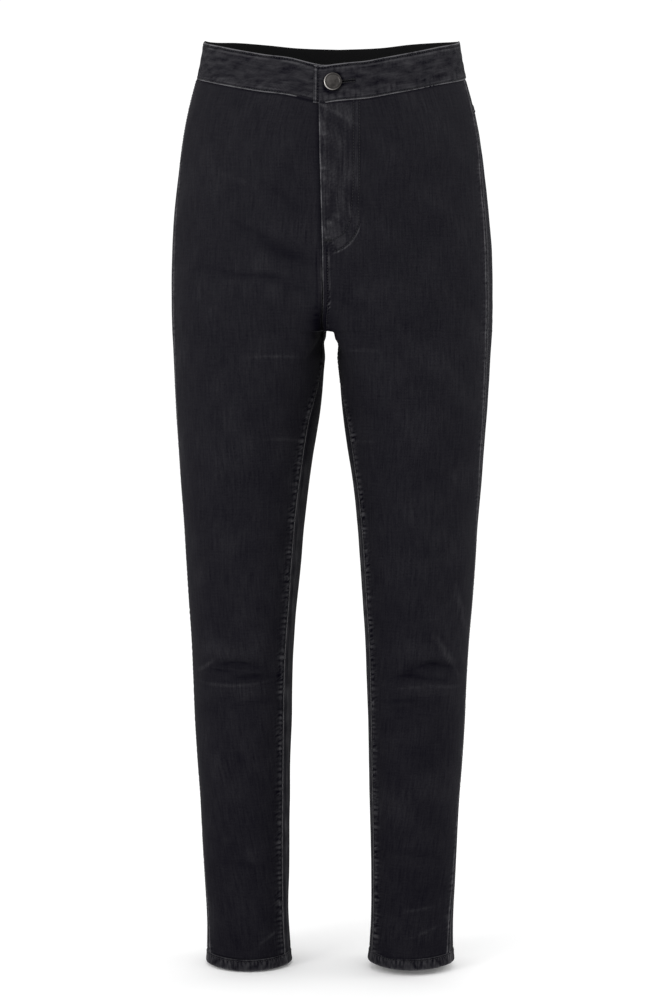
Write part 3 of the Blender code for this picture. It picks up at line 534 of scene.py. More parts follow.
def seam_relief(
    distance, lapped, rubbed, seed, along, stitch=STITCH_LINE, sunk=1.0, second=0.1, width=0.0005
):
    """Height and wear beside a seam. Both sides dip into the groove. The lapped side then rises
    in a rounded edge, stays proud over its turning and steps down behind the stitches."""
    rise = ramp(distance, 0, EDGE_ROUND)
    fall = 1 - ramp(distance, TURNING, TURNING + TURNING_STEP)
    stitched = sunk * bell(distance, stitch, STITCH_WIDTH)
    height = -GROOVE * (1 - rise) + lapped * (TURNING_RISE * rise * fall - STITCH_SINK * stitched)
    uneven = 0.90 + 0.28 * waves([along], 0.025, seed) + 0.2 * waves([along], 0.006, seed + 1)
    edge = bell(distance, RUBBED_FROM + width, width) * np.clip(uneven, 0.45, 1.4)
    behind = bell(distance, TURNING, TURNING_RUB) * second * np.clip(uneven, 0, 1)
    groove = bell(distance, 0, GROOVE_WIDTH) + 0.6 * stitched
    wear = rubbed * (edge * (0.35 + 0.65 * lapped) + behind * lapped)
    return height, wear - groove * (0.3 + 0.7 * lapped)


def puckers(along, distance, strength, seed):
    """Ridges across the seam between the pinches of its thread, uneven in spacing and size."""
    drift = 0.45 * waves([along], 0.05, seed) + 12 * distance
    width = PUCKER_REACH * (1 + 0.3 * waves([along], 0.02, seed + 3))
    reach = bell(distance, PUCKER_MIDDLE, width)
    reach = reach * varied([along], 0.03, seed + 1, 0.75, 0.5, 0.1, 1.5)
    shape = ridges(along / PUCKER + drift) * reach
    return strength * shape, PUCKER_WEAR * (shape + 0.16 * reach) * strength / FULL_PUCKER


def add_seam(panel, distance, edge, lapped, rubbed, pucker, seed, **style):
    """Adds one seam's relief and puckers to a panel; edge is the column that lies on it."""
    along = panel.from_top[:, edge][:, None]
    panel.add(*seam_relief(distance, lapped, rubbed, seed, along, **style))
    panel.add(*puckers(along, distance, pucker, seed + 7))
    uneven = varied([along, distance], 0.035, seed + 9, 0.7, 0.6, 0, 1.6)
    panel.gather += uneven * bell(distance, GATHER_MIDDLE, GATHER_REACH) * pucker


def add_cloth_wander(panel, seed):
    """The slight waviness and blotches of cloth that is filled out but not stretched tight."""
    away = ramp(np.minimum(panel.first, panel.last), 0.004, 0.03)
    broad, fine = np.clip(panel.height / 0.0030, -1, 1), np.clip(panel.crease / 0.0010, -1, 1)
    slow, quick = panel.wander(0.12, seed), panel.wander(0.030, seed + 1, steep=0.6)
    blotch = panel.wander(0.045, seed + 2)
    panel.height += 0.0006 * slow * away
    fine *= 1 + 0.35 * panel.wander(0.012, seed + 3)
    hollow = 0.035 * broad - 0.03 * np.clip(-broad, 0, 1)
    wear = hollow + 0.10 * fine + 0.007 * slow + 0.009 * blotch
    panel.add(0.00010 * quick * away, wear)

# %% [markdown]
# ## Meshes
#
# A face of cloth, its back and the edge between them make one closed skin, as thick as the cloth.
# Every mesh is written from whole arrays. Up to three numbers go with each of its points: wear,
# from -1 in a dark groove to 1 on a rubbed edge, which in a few places also holds painted shade
# and on the button a painted highlight, how strongly the cloth is gathered, and whether it is its
# back. The map of each piece is in metres, so the weave has the same scale everywhere.

# %% Meshes from grids
SHARP_ANGLE = math.radians(50)
MAP_NAME = "cloth"
FULL_GATHER = 0.0009


def facing_out(points, faces):
    """The same four-cornered faces, turned round if the body they enclose is inside out."""
    a, b, c, d = (points[faces[:, k]] for k in range(4))
    volume = np.einsum("ij,ij->", a, np.cross(b, c)) + np.einsum("ij,ij->", a, np.cross(c, d))
    return faces if volume > 0 else faces[:, ::-1]


def new_object(name, data):
    made = bpy.data.objects.new(name, data)
    bpy.context.scene.collection.objects.link(made)
    return made


def add_piece(name, points, faces, material, values=(), flat_map=None):
    """Makes an object from arrays of points and faces, and lets it ride on the frame."""
    points = points.reshape(-1, 3)
    faces = facing_out(points, faces)
    mesh = bpy.data.meshes.new(name)
    mesh.from_pydata(points.tolist(), [], faces.tolist())
    for key, value in dict(values).items():
        attribute = mesh.attributes.new(key, "FLOAT", "POINT")
        attribute.data.foreach_set("value", np.float32(value).ravel())
    if flat_map is not None:
        corner = np.empty(len(mesh.loops), np.int32)
        mesh.loops.foreach_get("vertex_index", corner)
        places = np.stack(np.broadcast_arrays(*flat_map), -1).reshape(-1, 2)
        layer = mesh.uv_layers.new(name=MAP_NAME)
        layer.data.foreach_set("uv", np.float32(places[corner]).ravel())
    mesh.shade_smooth()
    mesh.set_sharp_from_angle(angle=SHARP_ANGLE)
    mesh.materials.append(material)
    piece = new_object(name, mesh)
    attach(piece, "root")
    return piece


def ring_faces(stations, count, closed):
    """Faces of a body made of rings: sides between neighbours, and strips over open ends."""
    index = np.arange(stations * count).reshape(stations, count)
    first = index if closed else index[:-1]
    second = np.roll(index, -1, axis=0) if closed else index[1:]
    sides = np.stack(
        [first, np.roll(first, -1, axis=1), np.roll(second, -1, axis=1), second], -1
    ).reshape(-1, 4)
    if closed:
        return sides
    half = count // 2
    caps = [
        np.stack([end[1:half], end[: half - 1], end[::-1][: half - 1], end[::-1][1:half]], -1)
        for end in (index[0], index[-1][::-1])
    ]
    return np.concatenate([sides, *caps])


def add_rings(name, rings, material, values=(), flat_map=None, closed=False):
    """A body from a grid of points, one ring of them at each station."""
    return add_piece(name, rings, ring_faces(*rings.shape[:2], closed), material, values, flat_map)


def add_shell(name, outer, inner, wear, across, down, material, gather=0.0):
    """A closed skin: out along each row of the face and home along the same row of the back."""
    rings = np.concatenate([outer, inner[:, ::-1]], axis=1)
    is_back = np.concatenate([np.zeros_like(wear), np.ones_like(wear)], axis=1)
    parts = (wear, gather / FULL_GATHER + 0 * wear, across, down)
    wear, gather, across, down = (np.concatenate([part, part[:, ::-1]], 1) for part in parts)
    values = {"wear": wear, "gather": gather, "cloth_back": is_back}
    return add_rings(name, rings, material, values, (across, down))

# %% [markdown]
# ## Shader arithmetic
#
# A material is a graph of nodes, and formulas are easier to read than wires. A small class wraps
# one socket, so that adding and multiplying in Python adds Math nodes to the graph. One method
# adds any kind of node, with its settings first and its sockets after them, and short ones that
# call it name the kinds used most.

# %% Sockets with arithmetic
class Socket:
    """One output of a node, with the arithmetic of a number."""

    def __init__(self, tree, output=None):
        self.tree = tree
        self.output = output

    def node(self, kind, settings=(), sockets=(), output=0):
        made = self.tree.nodes.new(kind)
        for key, value in dict(settings).items():
            setattr(made, key, value)
        for key, value in dict(sockets).items():
            self.join(made.inputs[key], value)
        return Socket(self.tree, made.outputs[output])

    def join(self, entry, value):
        if isinstance(value, Socket):
            self.tree.links.new(value.output, entry)
        else:
            entry.default_value = value

    def maths(self, operation, first, second=0.0, clamp=False):
        settings = {"operation": operation, "use_clamp": clamp}
        return self.node("ShaderNodeMath", settings, {0: first, 1: second})

    def mix(self, share, first, second):
        settings = {"data_type": "RGBA", "clamp_factor": True}
        return self.node("ShaderNodeMix", settings, {0: share, 6: first, 7: second}, output=2)

    def scaled(self, by):
        settings = {"operation": "MULTIPLY"}
        return self.node("ShaderNodeVectorMath", settings, {0: self, 1: by})

    def noise(self, scale, detail=2.0, roughness=0.5):
        sockets = {"Vector": self, "Scale": scale, "Detail": detail, "Roughness": roughness}
        return self.node("ShaderNodeTexNoise", {}, sockets)

    def bump(self, strength, distance):
        sockets = {"Strength": strength, "Distance": distance, "Height": self}
        return self.node("ShaderNodeBump", {}, sockets)

    def part(self, axis):
        return self.node("ShaderNodeSeparateXYZ", {}, {0: self}, output=axis)

    def stored(self, key):
        """A number that is stored with each point of the mesh."""
        return self.node("ShaderNodeAttribute", {"attribute_name": key}, output="Fac")

    def clamped(self):
        return self.maths("ADD", self, 0.0, clamp=True)

    def sine(self):
        return self.maths("SINE", self)

    def __add__(self, other):
        return self.maths("ADD", self, other)

    def __sub__(self, other):
        return self.maths("SUBTRACT", self, other)

    def __rsub__(self, other):
        return self.maths("SUBTRACT", other, self)

    def __mul__(self, other):
        return self.maths("MULTIPLY", self, other)

    __radd__ = __add__
    __rmul__ = __mul__


def new_material(name, constants):
    """A material with one Principled shader, its even values set on the shader's own sockets,
    and the place of a point in the object's own coordinates."""
    made = bpy.data.materials.new(name)
    made.use_nodes = True
    shader = made.node_tree.nodes["Principled BSDF"]
    for key, value in constants.items():
        shader.inputs[key].default_value = value
    return made, shader, Socket(made.node_tree).node("ShaderNodeTexCoord", output="Object")


def join_all(shader, spot, values):
    """Connects values that vary over the surface to the shader's sockets."""
    for key, value in values.items():
        spot.join(shader.inputs[key], value)

# %% [markdown]
# ## Denim
#
# Denim is a twill: the warp shows on the face in fine diagonal lines, dyed black here, and the
# weft stays inside. Warp yarns differ in thickness, which shows as faint streaks down the cloth,
# and the weft gives weaker ones across it. Washing takes dye off whatever stands proud. So the
# colour goes from charcoal to grey with the wear that the grid holds, which in a few places also
# holds painted shade, and yarns, blotches and the slanted gathers beside the seams shift it a
# little. The colour is also painted lighter towards the top, as painted light on the hips.

# %% The denim material
TWILL_PITCH = 0.00062
DENIM_DEEP = (0.0012, 0.0009, 0.0034, 1)
DENIM_RUBBED = (0.110, 0.108, 0.115, 1)
DENIM_BACK = (0.0085, 0.0084, 0.0088, 1)
UNWORN = 0.0570  # how far cloth that isn't rubbed lies from the deep to the rubbed colour
# Painted light: the denim is painted this much lighter for each metre upwards, as the hips catch
# more light than the calves.
PAINTED_LIGHT_UPWARDS = 0.035  # a metre


def denim(name, washed=0.0, mottle=0.0):
    """Washed black twill; washed shifts all of it towards the rubbed colour."""
    constants = {"Specular IOR Level": 0.03, "Sheen Weight": 0.006, "Sheen Roughness": 0.5}
    made, shader, spot = new_material(name, constants)
    place = spot.node("ShaderNodeUVMap", {"uv_map": MAP_NAME})
    wear, gather = spot.stored("wear"), spot.stored("gather")
    across, down, height = place.part("X"), place.part("Y"), spot.part("Z") + 0.9

    twill = ((across + down * 1.4) * (2 * math.pi / TWILL_PITCH)).sine()
    warp = place.scaled((900, 30, 1)).noise(1.0) - 0.5
    slub = place.scaled((330, 55, 1)).noise(1.0) - 0.5
    weft = place.scaled((45, 620, 1)).noise(1.0) - 0.5
    blotch = place.noise(26.0, 4.0) - 0.5
    fleck = place.noise(520.0, 3.0, 0.7) - 0.5
    yarns = 0.085 * warp + 0.065 * slub + 0.045 * weft + 0.05 * blotch + 0.12 * fleck
    clouds = mottle * (place.scaled((165, 55, 1)).noise(1.0, 3.0, 0.6) - 0.5)
    slanted = {"X": across * 110, "Y": (down + across * 0.35) * 430}
    pinched = spot.node("ShaderNodeCombineXYZ", {}, slanted).noise(1.0, 1.5, 0.6) - 0.5
    gathers = gather * pinched
    worn = wear.maths("MAXIMUM", wear, wear * 0.3) * (1 + 1.5 * fleck + 1.8 * warp + 1.8 * slub)
    # The height term is painted light, lighter upwards; the stored wear also holds painted shade in
    # a few places.
    tone = UNWORN + washed + worn + PAINTED_LIGHT_UPWARDS * height + clouds + yarns + 0.006 * twill
    tone = tone + 0.62 * gathers

    colour = spot.mix(tone.clamped(), DENIM_DEEP, DENIM_RUBBED)
    relief = 0.3 * twill + 1.6 * warp + 1.0 * weft + 1.5 * fleck + 6.0 * gathers
    join_all(shader, spot, {
        "Base Color": spot.mix(spot.stored("cloth_back"), colour, DENIM_BACK),
        "Roughness": 0.86 - 0.10 * wear + 0.12 * fleck,
        "Normal": relief.bump(0.45, 0.00011),
    })
    return made


denim_cloth = denim("denim")
denim_worn = denim("denim_worn", washed=0.028, mottle=0.48)
denim_inside = denim("denim_inside", washed=-0.02)

# %% [markdown]
# ## Thread and metal
#
# The topstitching is black polyester thread, a little glossier than the cloth. The button is
# pressed brass with dark gunmetal plating, satin on its dished face. Its colour holds a painted
# highlight on one side of the rolled rim and painted shade round it. The zip is dull antique
# brass. Each takes its unevenness from noise in the object's own coordinates.

# %% Thread and metal materials
HIGHLIGHT_METAL = (0.50, 0.48, 0.46, 1)


def thread():
    constants = {"Specular IOR Level": 0.25, "Sheen Weight": 0.05}
    made, shader, spot = new_material("thread", constants)
    yarn = spot.noise(900.0, 2.0)
    colour = spot.mix(yarn, (0.0035, 0.0034, 0.004, 1), (0.011, 0.0108, 0.0125, 1))
    join_all(shader, spot, {"Base Color": colour, "Roughness": 0.5 + 0.3 * yarn})
    return made


def plated(name, dark, bright, rough):
    made, shader, spot = new_material(name, {"Metallic": 1.0, "Specular IOR Level": 0.5})
    cloud = (spot.noise(160.0, 3.0) - 0.5) * 2.6 + 0.5
    scratch = spot.scaled((3000, 3000, 500)).noise(1.0, 2.0)
    # On the button the stored wear is painted light: above 0 a painted highlight towards the pale
    # metal, below 0 painted shade. The zip has none stored.
    rubbed = spot.stored("wear")
    colour = spot.mix((cloud + 1.6 * rubbed).clamped(), dark, bright)
    join_all(shader, spot, {
        "Base Color": spot.mix(rubbed, colour, HIGHLIGHT_METAL),
        "Roughness": rough + 0.16 * cloud + 0.10 * scratch,
        "Normal": scratch.bump(0.12, 0.00005),
    })
    return made


thread_black = thread()
gunmetal = plated("gunmetal", (0.028, 0.026, 0.025, 1), (0.082, 0.076, 0.072, 1), 0.24)
zip_brass = plated("zip_metal", (0.13, 0.115, 0.09, 1), (0.25, 0.22, 0.18, 1), 0.34)

# %% [markdown]
# ## The fronts
#
# The left front laps over the right one at the fly, and its inseam and side seam are turned over
# the backs. Two rows of stitches in the shape of a J hold the fly facing. Years of sitting pull
# at the seams there, so the lap is washed paler, in streaks that run with the warp.

# %% Fronts as grids
LAP_EDGE_Z = (HIP_Z, -0.190, -0.150, -0.100, -0.045)
LAP_EDGE_X = (0.0, -0.0002, -0.0013, -0.0029, -0.0044)
UNDER_EDGE_X = 0.0014
UNDERLAP_END_Z = (-0.176, -0.188)
UNDER_DEPTH = CLOTH + 0.0003
UNDER_RAMP_X = (0.026, 0.007)
SEAMS_SWAP = (1.93, 2.05)  # "down" where the crotch seam's lap ends and the inseams' begins
FLY_END_Z = (-0.195, -0.215)
LAP_SHADE_Z = (-0.230, -0.200)
CROTCH_SHADE_WIDTH, CROTCH_SHADE_HEIGHT = 0.012, 0.022
MIDDLE_ENDS = (1.93, 2.0)  # "down" where the crotch seam stops lying on the middle


def body_rows(first_down, step):
    length = (waist_seam_z(math.pi / 4) - HIP_Z) / step
    return np.linspace(first_down, 1, int(length))[:-1]


def lower_rows(step):
    """Rows from the hip line along the crotch seam and down the leg, into the hem."""
    crotch = np.linspace(1, 2, 61)[:-1]
    end = 2 + (HEM_Z + HEM_HEIGHT - TUCK - CROTCH_Z) / (HEM_Z - CROTCH_Z)
    leg = np.linspace(2, end, int((CROTCH_Z - HEM_Z) / step))
    return np.concatenate([crotch, leg])


def lap_edge(z):
    return np.interp(z, LAP_EDGE_Z, LAP_EDGE_X)


def under_edge_x(z):
    """The right front's edge: past the middle under the lap, and below its end on the seam."""
    ended = ramp(z, *UNDERLAP_END_Z)
    return -lap_edge(z) * ended - UNDER_EDGE_X * (1 - ended)


def front_place(edge):
    """Places points of a front whose upper edge lies at edge(z) from the middle."""
    top = waist_seam_z(0.0)

    def place(around, down):
        z = top + (HIP_Z - top) * np.clip(down, 0, 1)
        edge_x = np.where(down >= 1, 0.0, edge(z))
        return skin(around, down, waist_seam_z, edge_x)

    return place


def tuck_ends(panel, top, bottom):
    """Sinks a panel where it runs up into the waistband or down into the hem, and darkens it
    in a thin line beside the band's and the hem's edges: painted shade.
    """
    end = panel.from_bottom if bottom else np.full_like(panel.z, 1.0)
    start = panel.from_top if top else np.full_like(panel.z, 1.0)
    nearest = np.minimum(start, end)
    panel.sink += TUCK_SINK * (1 - ramp(nearest, TUCK, TUCK + 0.0025))
    # Painted shade in a thin line where the panel goes under the band or the hem.
    panel.wear -= 0.3 * bell(start, TUCK, 0.0011) + 0.12 * bell(end, TUCK, 0.0009)


def make_front(half):
    upper = TUCK / (HIP_Z - waist_seam_z(math.pi / 4))
    step = ROW_STEP["front"]
    rows = np.concatenate([body_rows(upper, step), lower_rows(step)])
    if half == LEFT:
        place = front_place(lap_edge)
        panel = Panel(half, place, rows, 0.0, 1.0, FLY_DISTANCES, FLY_MIDDLE_COLUMNS)
    else:
        panel = Panel(half, front_place(under_edge_x), rows, 0.0, 1.0)
    on_leg = ramp(rows, *SEAMS_SWAP)[:, None]
    laps = on_leg + (1 - on_leg) * (half == LEFT)
    seed = 20 if half == LEFT else 40
    pucker = 0.0009 * on_leg + 0.00010 * (1 - on_leg) * (half == LEFT)
    below_fly = ramp(panel.z, *FLY_END_Z)
    inseam_style = {
        "stitch": STITCH_LINE + (LEG_STITCH_LINE - STITCH_LINE) * on_leg,
        "sunk": below_fly * (1 - 0.5 * on_leg),
        "second": 0.05 + 0.45 * below_fly * (1 - on_leg),
        "width": 0.0004 + 0.0003 * on_leg,
    }
    side_style = {"stitch": LEG_STITCH_LINE, "sunk": 0.5, "second": 0.40, "width": 0.0007}
    on_middle = below_fly * (1 - ramp(rows, *MIDDLE_ENDS))[:, None]
    panel.to_seam = panel.first + (np.minimum(panel.x, panel.first) - panel.first) * on_middle
    add_seam(panel, panel.to_seam, 0, laps, 0.75 + 0.75 * on_leg, pucker, seed, **inseam_style)
    add_seam(panel, panel.last, -1, 1.0, 1.30, 0.00045, seed + 50, **side_style)
    # Painted shade round the bottom of the crotch seam, where the legs meet.
    shade = bell(panel.x, 0, CROTCH_SHADE_WIDTH)
    panel.wear -= 0.25 * shade * bell(panel.z, CROTCH_Z + 0.004, CROTCH_SHADE_HEIGHT)
    add_cloth_wander(panel, seed + 80)
    if half == RIGHT:
        # Painted shadow of the lap: a dark band on the right front beside the lap's edge.
        lap_shadow = bell(panel.x, -lap_edge(panel.z), 0.0035) * ramp(panel.z, *LAP_SHADE_Z)
        panel.wear -= 0.16 * lap_shadow
        ending = 1 - ramp(panel.z, UNDERLAP_END_Z[1], HIP_Z)
        panel.sink += UNDER_DEPTH * ramp(panel.x, *UNDER_RAMP_X) * ending
    tuck_ends(panel, top=True, bottom=True)
    return panel


left_front, right_front = make_front(LEFT), make_front(RIGHT)
print("A front has", left_front.z.shape, "points on its face")

# %% [markdown]
# ## The fly
#
# Two parallel rows run down from the waistband and turn in a quarter ellipse towards the crotch
# seam. The sewing machine pulls them into shallow grooves. The layers of the facing under them
# make the lap stand a little higher than the front beside it.

# %% The J of the fly
J_INNER = {"x": (0.0322, 0.0326, 0.0308), "z": (-0.050, -0.138, -0.159), "turn": (0.0268, 0.0275)}
J_OUTER = {"x": (0.0382, 0.0388, 0.0372), "z": (-0.050, -0.138, -0.159), "turn": (0.0364, 0.0392)}
J_CENTRE = (0.0030, -0.168)
J_END_TURN = math.radians(76)
RUBBED_SPOTS = (  # x, z, size and wear
    (0.0020, -0.0854, 0.0030, 0.22), (0.0010, -0.1204, 0.0025, 0.22),
    (0.0085, -0.1768, 0.0030, 0.25), (0.0160, -0.1690, 0.0040, 0.12),
)


def j_path(row):
    """Points of one J row as seen from the front: down the facing, then a quarter ellipse."""
    turn = np.linspace(math.radians(12), J_END_TURN, 160)
    wide, deep = row["turn"]
    x = J_CENTRE[0] + wide * np.cos(turn)
    z = J_CENTRE[1] - deep * np.sin(turn)
    heights = np.linspace(row["z"][0], row["z"][-1], 110)
    straight = np.interp(-heights, -np.array(row["z"]), row["x"])
    return np.concatenate([straight, x]), np.concatenate([heights, z])


def distance_to_path(panel, path, reach=0.06):
    """Distance of each point of a front from a path, as seen from the front."""
    x, z = path
    near = (panel.x < reach) & (panel.z > HIP_Z - 0.02)
    apart = np.hypot(panel.x[near][:, None] - x, panel.z[near][:, None] - z)
    distance = np.full(panel.z.shape, 1.0)
    distance[near] = apart.min(axis=1)
    return distance


j_rows = [j_path(J_INNER), j_path(J_OUTER)]
for path in j_rows:
    groove = bell(distance_to_path(left_front, path), 0, 0.0009)
    left_front.add(-0.00035 * groove, -0.10 * groove)
lap_x, lap_z = left_front.x, left_front.z
beside_j = distance_to_path(left_front, j_rows[1])
j_width, j_depth = J_OUTER["turn"]
round_j = np.hypot((lap_x - J_CENTRE[0]) / j_width, (lap_z - J_CENTRE[1]) / j_depth)
below_j = ramp(round_j, 0.99, 1.02) * ramp(lap_z, -0.174, -0.188)
inside_x = np.interp(-lap_z, -j_rows[1][1], j_rows[1][0], right=0.0)
on_facing = ramp(inside_x - lap_x, -0.001, 0.002) * ramp(lap_z, -0.212, -0.200)
streaks = waves([lap_x, 0.07 * lap_z], 0.0035, 301)
patches = waves([lap_x, 0.5 * lap_z], 0.02, 302)
speckle = waves([lap_x, lap_z], 0.0026, 303, 12)
rubs = np.clip(waves([0.6 * lap_x, lap_z], 0.009, 304), 0, 2)
by_the_edge = bell(left_front.first, 0.0035, 0.0045)
left_front.add(
    0.0004 * on_facing,
    on_facing * (0.030 + 0.040 * streaks + 0.025 * patches + 0.022 * speckle)
    + on_facing * 0.08 * rubs * by_the_edge
    + 0.30 * bell(beside_j, 0.0017, 0.0006) * below_j * (1 + 0.3 * streaks),
)
bunched = bell(lap_x, 0.0065, 0.0065) * bell(lap_z, -0.2010, 0.0085)
above_tack = bell(lap_z + 60 * (lap_x - 0.0065) ** 2, -0.1912, 0.0008)
left_front.add(
    0.0002 * speckle * bunched,
    bunched * (0.10 * speckle - 0.10) + 0.22 * above_tack * bell(lap_x, 0.0065, 0.005),
)
for x, z, size, wear in RUBBED_SPOTS:
    left_front.add(0, wear * bell(np.hypot(lap_x - x, 1.5 * (lap_z - z)), 0, size))

# %% [markdown]
# ## The backs and yokes
#
# A yoke is the shaped piece between the waistband and the back of jeans. It takes in the cloth
# above the seat in place of darts. It is turned over the back panels and stitched twice. The
# seat seam joins the two halves, the left one on top.

# %% Backs and yokes as grids
BACK_RUBBED_Z = (-0.400, -0.450)
THIGH_SHADE_Z = (-0.470, -0.400)
YOKE_TURN = 2.4  # where the yoke is measured to space its rows


def back_place(around, down):
    return skin(around, down, yoke_seam_z)


def yoke_place(around, share):
    turn = body_angle(around, 0.0)
    top = waist_seam_z(turn)
    return skin(around, share * (yoke_seam_z(turn) - top) / (HIP_Z - top), waist_seam_z)


def make_back(half):
    near_top = EDGE_DISTANCES[:6] / (yoke_seam_z(YOKE_TURN) - HIP_Z)
    body = body_rows(0.0, ROW_STEP["back"])
    body = body[body > near_top[-1] + 0.01]
    rows = np.concatenate([near_top, body, lower_rows(ROW_STEP["back"])])
    panel = Panel(half, back_place, rows, 1.0, 2.0)
    on_leg = ramp(rows, *SEAMS_SWAP)[:, None]
    seed = 120 if half == LEFT else 150
    seat_laps = (1 - on_leg) * (half == LEFT)
    add_seam(panel, panel.last, -1, seat_laps, 0.5, 0.00035 * (1 - on_leg), seed)
    add_seam(panel, panel.first, 0, 0.0, 0.45, 0.00018, seed + 10)
    ridge = bell(panel.first, 0.0036, 0.0009)
    panel.add(0.00025 * ridge, 0.22 * ridge)
    rubbing = bell(panel.last, 0.009, 0.008) * ramp(panel.z, *BACK_RUBBED_Z)
    rubs = varied([panel.last, panel.z], 0.018, seed + 25, 0.7, 0.5, 0, 2)
    # Painted shade high on the inner thigh, beside the inseam between the legs; lower down the
    # cloth is rubbed paler.
    inner_thigh_shade = bell(panel.last, 0.008, 0.012) * ramp(panel.z, *THIGH_SHADE_Z)
    panel.wear += 0.16 * rubbing * rubs - 0.12 * inner_thigh_shade * on_leg
    panel.add(*seam_relief(panel.from_top, 0.0, 0.3, seed + 20, panel.first))
    add_cloth_wander(panel, seed + 30)
    tuck_ends(panel, top=False, bottom=True)
    return panel


def make_yoke(half):
    upper = TUCK / (yoke_seam_z(YOKE_TURN) - waist_seam_z(YOKE_TURN))
    rows = np.concatenate([np.linspace(upper, 0.96, 44), np.linspace(0.97, 1.0, 6)])
    panel = Panel(half, yoke_place, rows, 1.0, 2.0)
    seed = 180 if half == LEFT else 200
    add_seam(panel, panel.last, -1, float(half == LEFT), 0.5, 0.0003, seed)
    add_seam(panel, panel.first, 0, 0.0, 0.45, 0.00018, seed + 5)
    panel.add(*seam_relief(panel.from_bottom, 1.0, 0.6, seed + 9, panel.first))
    panel.add(*puckers(panel.first, panel.from_bottom, 0.0004, seed + 12))
    add_cloth_wander(panel, seed + 15)
    tuck_ends(panel, top=True, bottom=False)
    return panel


panels = {
    "front_left": left_front,
    "front_right": right_front,
    "back_left": make_back(LEFT),
    "back_right": make_back(RIGHT),
    "yoke_left": make_yoke(LEFT),
    "yoke_right": make_yoke(RIGHT),
}
for node, panel in panels.items():
    panel.outer, inner = panel.faces_of_cloth()
    piece = add_shell(
        f"{node}_cloth", panel.outer, inner, panel.wear,
        panel.last * panel.half, panel.z, denim_cloth, panel.gather,
    )
    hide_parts(node)
    print(piece.name, len(piece.data.polygons), "faces")

# %% [markdown]
# ## The waistband
#
# The waistband is one strip folded lengthwise over the panels' top edges. Its left end, the tab,
# laps over the right end and carries the buttonhole. Pressing and washing leave soft ripples along
# it. Its fold and its lower edge rub pale first, with a row of stitches close to each.

# %% Waistband sizes
TAB_END_X = -0.0098
TAB_DROP = 0.0018
TAB_DROP_X = 0.014
BAND_UNDER_END_X = 0.025
BAND_UNDER_DEPTH = BAND_CLOTH + 0.0003
BAND_RAMP_X = (-0.033, -0.0125)
BAND_STEP = 0.0020
BAND_FINE_STEP = 0.0005
BAND_FINE_END_X = 0.042
BUTTON_X = 0.0107
BUTTON_Z = -0.0318
BUTTON_RADIUS = 0.0095
BUTTONHOLE_END_X = 0.0337
BUTTONHOLE_RISE = 0.0198  # its height above the band's lower edge
STITCH_PITCH = 0.0030
RIPPLE_PITCH = 0.0105
RIPPLE_WEAR = 0.038
BAND_STITCH_LOW = 0.0019
BAND_STITCH_HIGH = 0.0368
TAB_STITCH = 0.0050
FOLD_STEPS = 7


def folded_profile(height, thickness, face_share, back_share):
    """Heights, depths and how much each point belongs to the face, round a folded strip."""
    radius = thickness / 2
    turn = np.linspace(0, math.pi, FOLD_STEPS + 2)[1:-1]
    face = radius + (height - thickness) * face_share
    back = radius + (height - thickness) * back_share[::-1]
    rise, fold = radius * np.sin(turn), radius * np.cos(turn)
    heights = np.concatenate([face, height - radius + rise, back, radius - rise])
    depths = np.concatenate([0 * face, radius - fold, 0 * back + thickness, radius + fold])
    on_face = np.concatenate([0 * face + 1, np.cos(turn), 0 * back, -np.cos(turn)])
    return heights, depths, np.clip(on_face, 0, 1)


def band_turns():
    """Angles of the waistband's sections, closest together at the tab and the buttonhole."""
    wide = section("outer", waist_seam_z(0.0))
    fine = np.arcsin(np.arange(TAB_END_X, BAND_FINE_END_X, BAND_FINE_STEP) / wide)
    end = 2 * math.pi + math.asin(BAND_UNDER_END_X / wide)
    dense = np.linspace(fine[-1], end, 4000)
    reach = section("front", -0.01)
    path = np.stack([wide * np.sin(dense), reach * np.cos(dense)], -1)[None]
    walked = walk(path, axis=1)[0]
    count = int(walked[-1] / BAND_STEP)
    return np.concatenate([fine, np.interp(np.linspace(0, walked[-1], count), walked, dense)[1:]])


def band_face_rows():
    """Shares of the face's height, closer together at the edges and at the buttonhole."""
    edge = np.array([0, 0.3, 0.7, 1.1, 1.6, 2.2, 3.0, 4.0]) / 1000
    long = BAND_HEIGHT - BAND_CLOTH
    hole = BUTTONHOLE_RISE - BAND_CLOTH / 2 + np.arange(-6, 7) * 0.0003
    between = np.concatenate([np.linspace(0.0053, hole[0] - 0.0013, 7), hole])
    upper = np.linspace(hole[-1] + 0.0013, long - 0.0053, 7)
    return np.concatenate([edge, between, upper, long - edge[::-1]]) / long


def strip_values(wear, on_face):
    """What is stored with a folded strip's points: its wear, which on the waistband also holds
    painted shade, and how much each is its back.
    """
    return {"wear": wear, "cloth_back": np.broadcast_to(ramp(1 - on_face, 0.5, 0.9), wear.shape)}


def dashes(along, share):
    """Deepest in the middle of each stitch; share is how much of the depth comes and goes."""
    return 1 - share + share * np.cos(2 * math.pi * along / STITCH_PITCH)

# %% [markdown]
# ### The waistband's surface
#
# The band's surface is a grid too: one way along the waist, the other way round its folded
# section, up the face, over the fold and down the back. A few terms add the ripples, the stitch
# grooves, the end of the tab and the slit of the buttonhole with its raised satin edge.

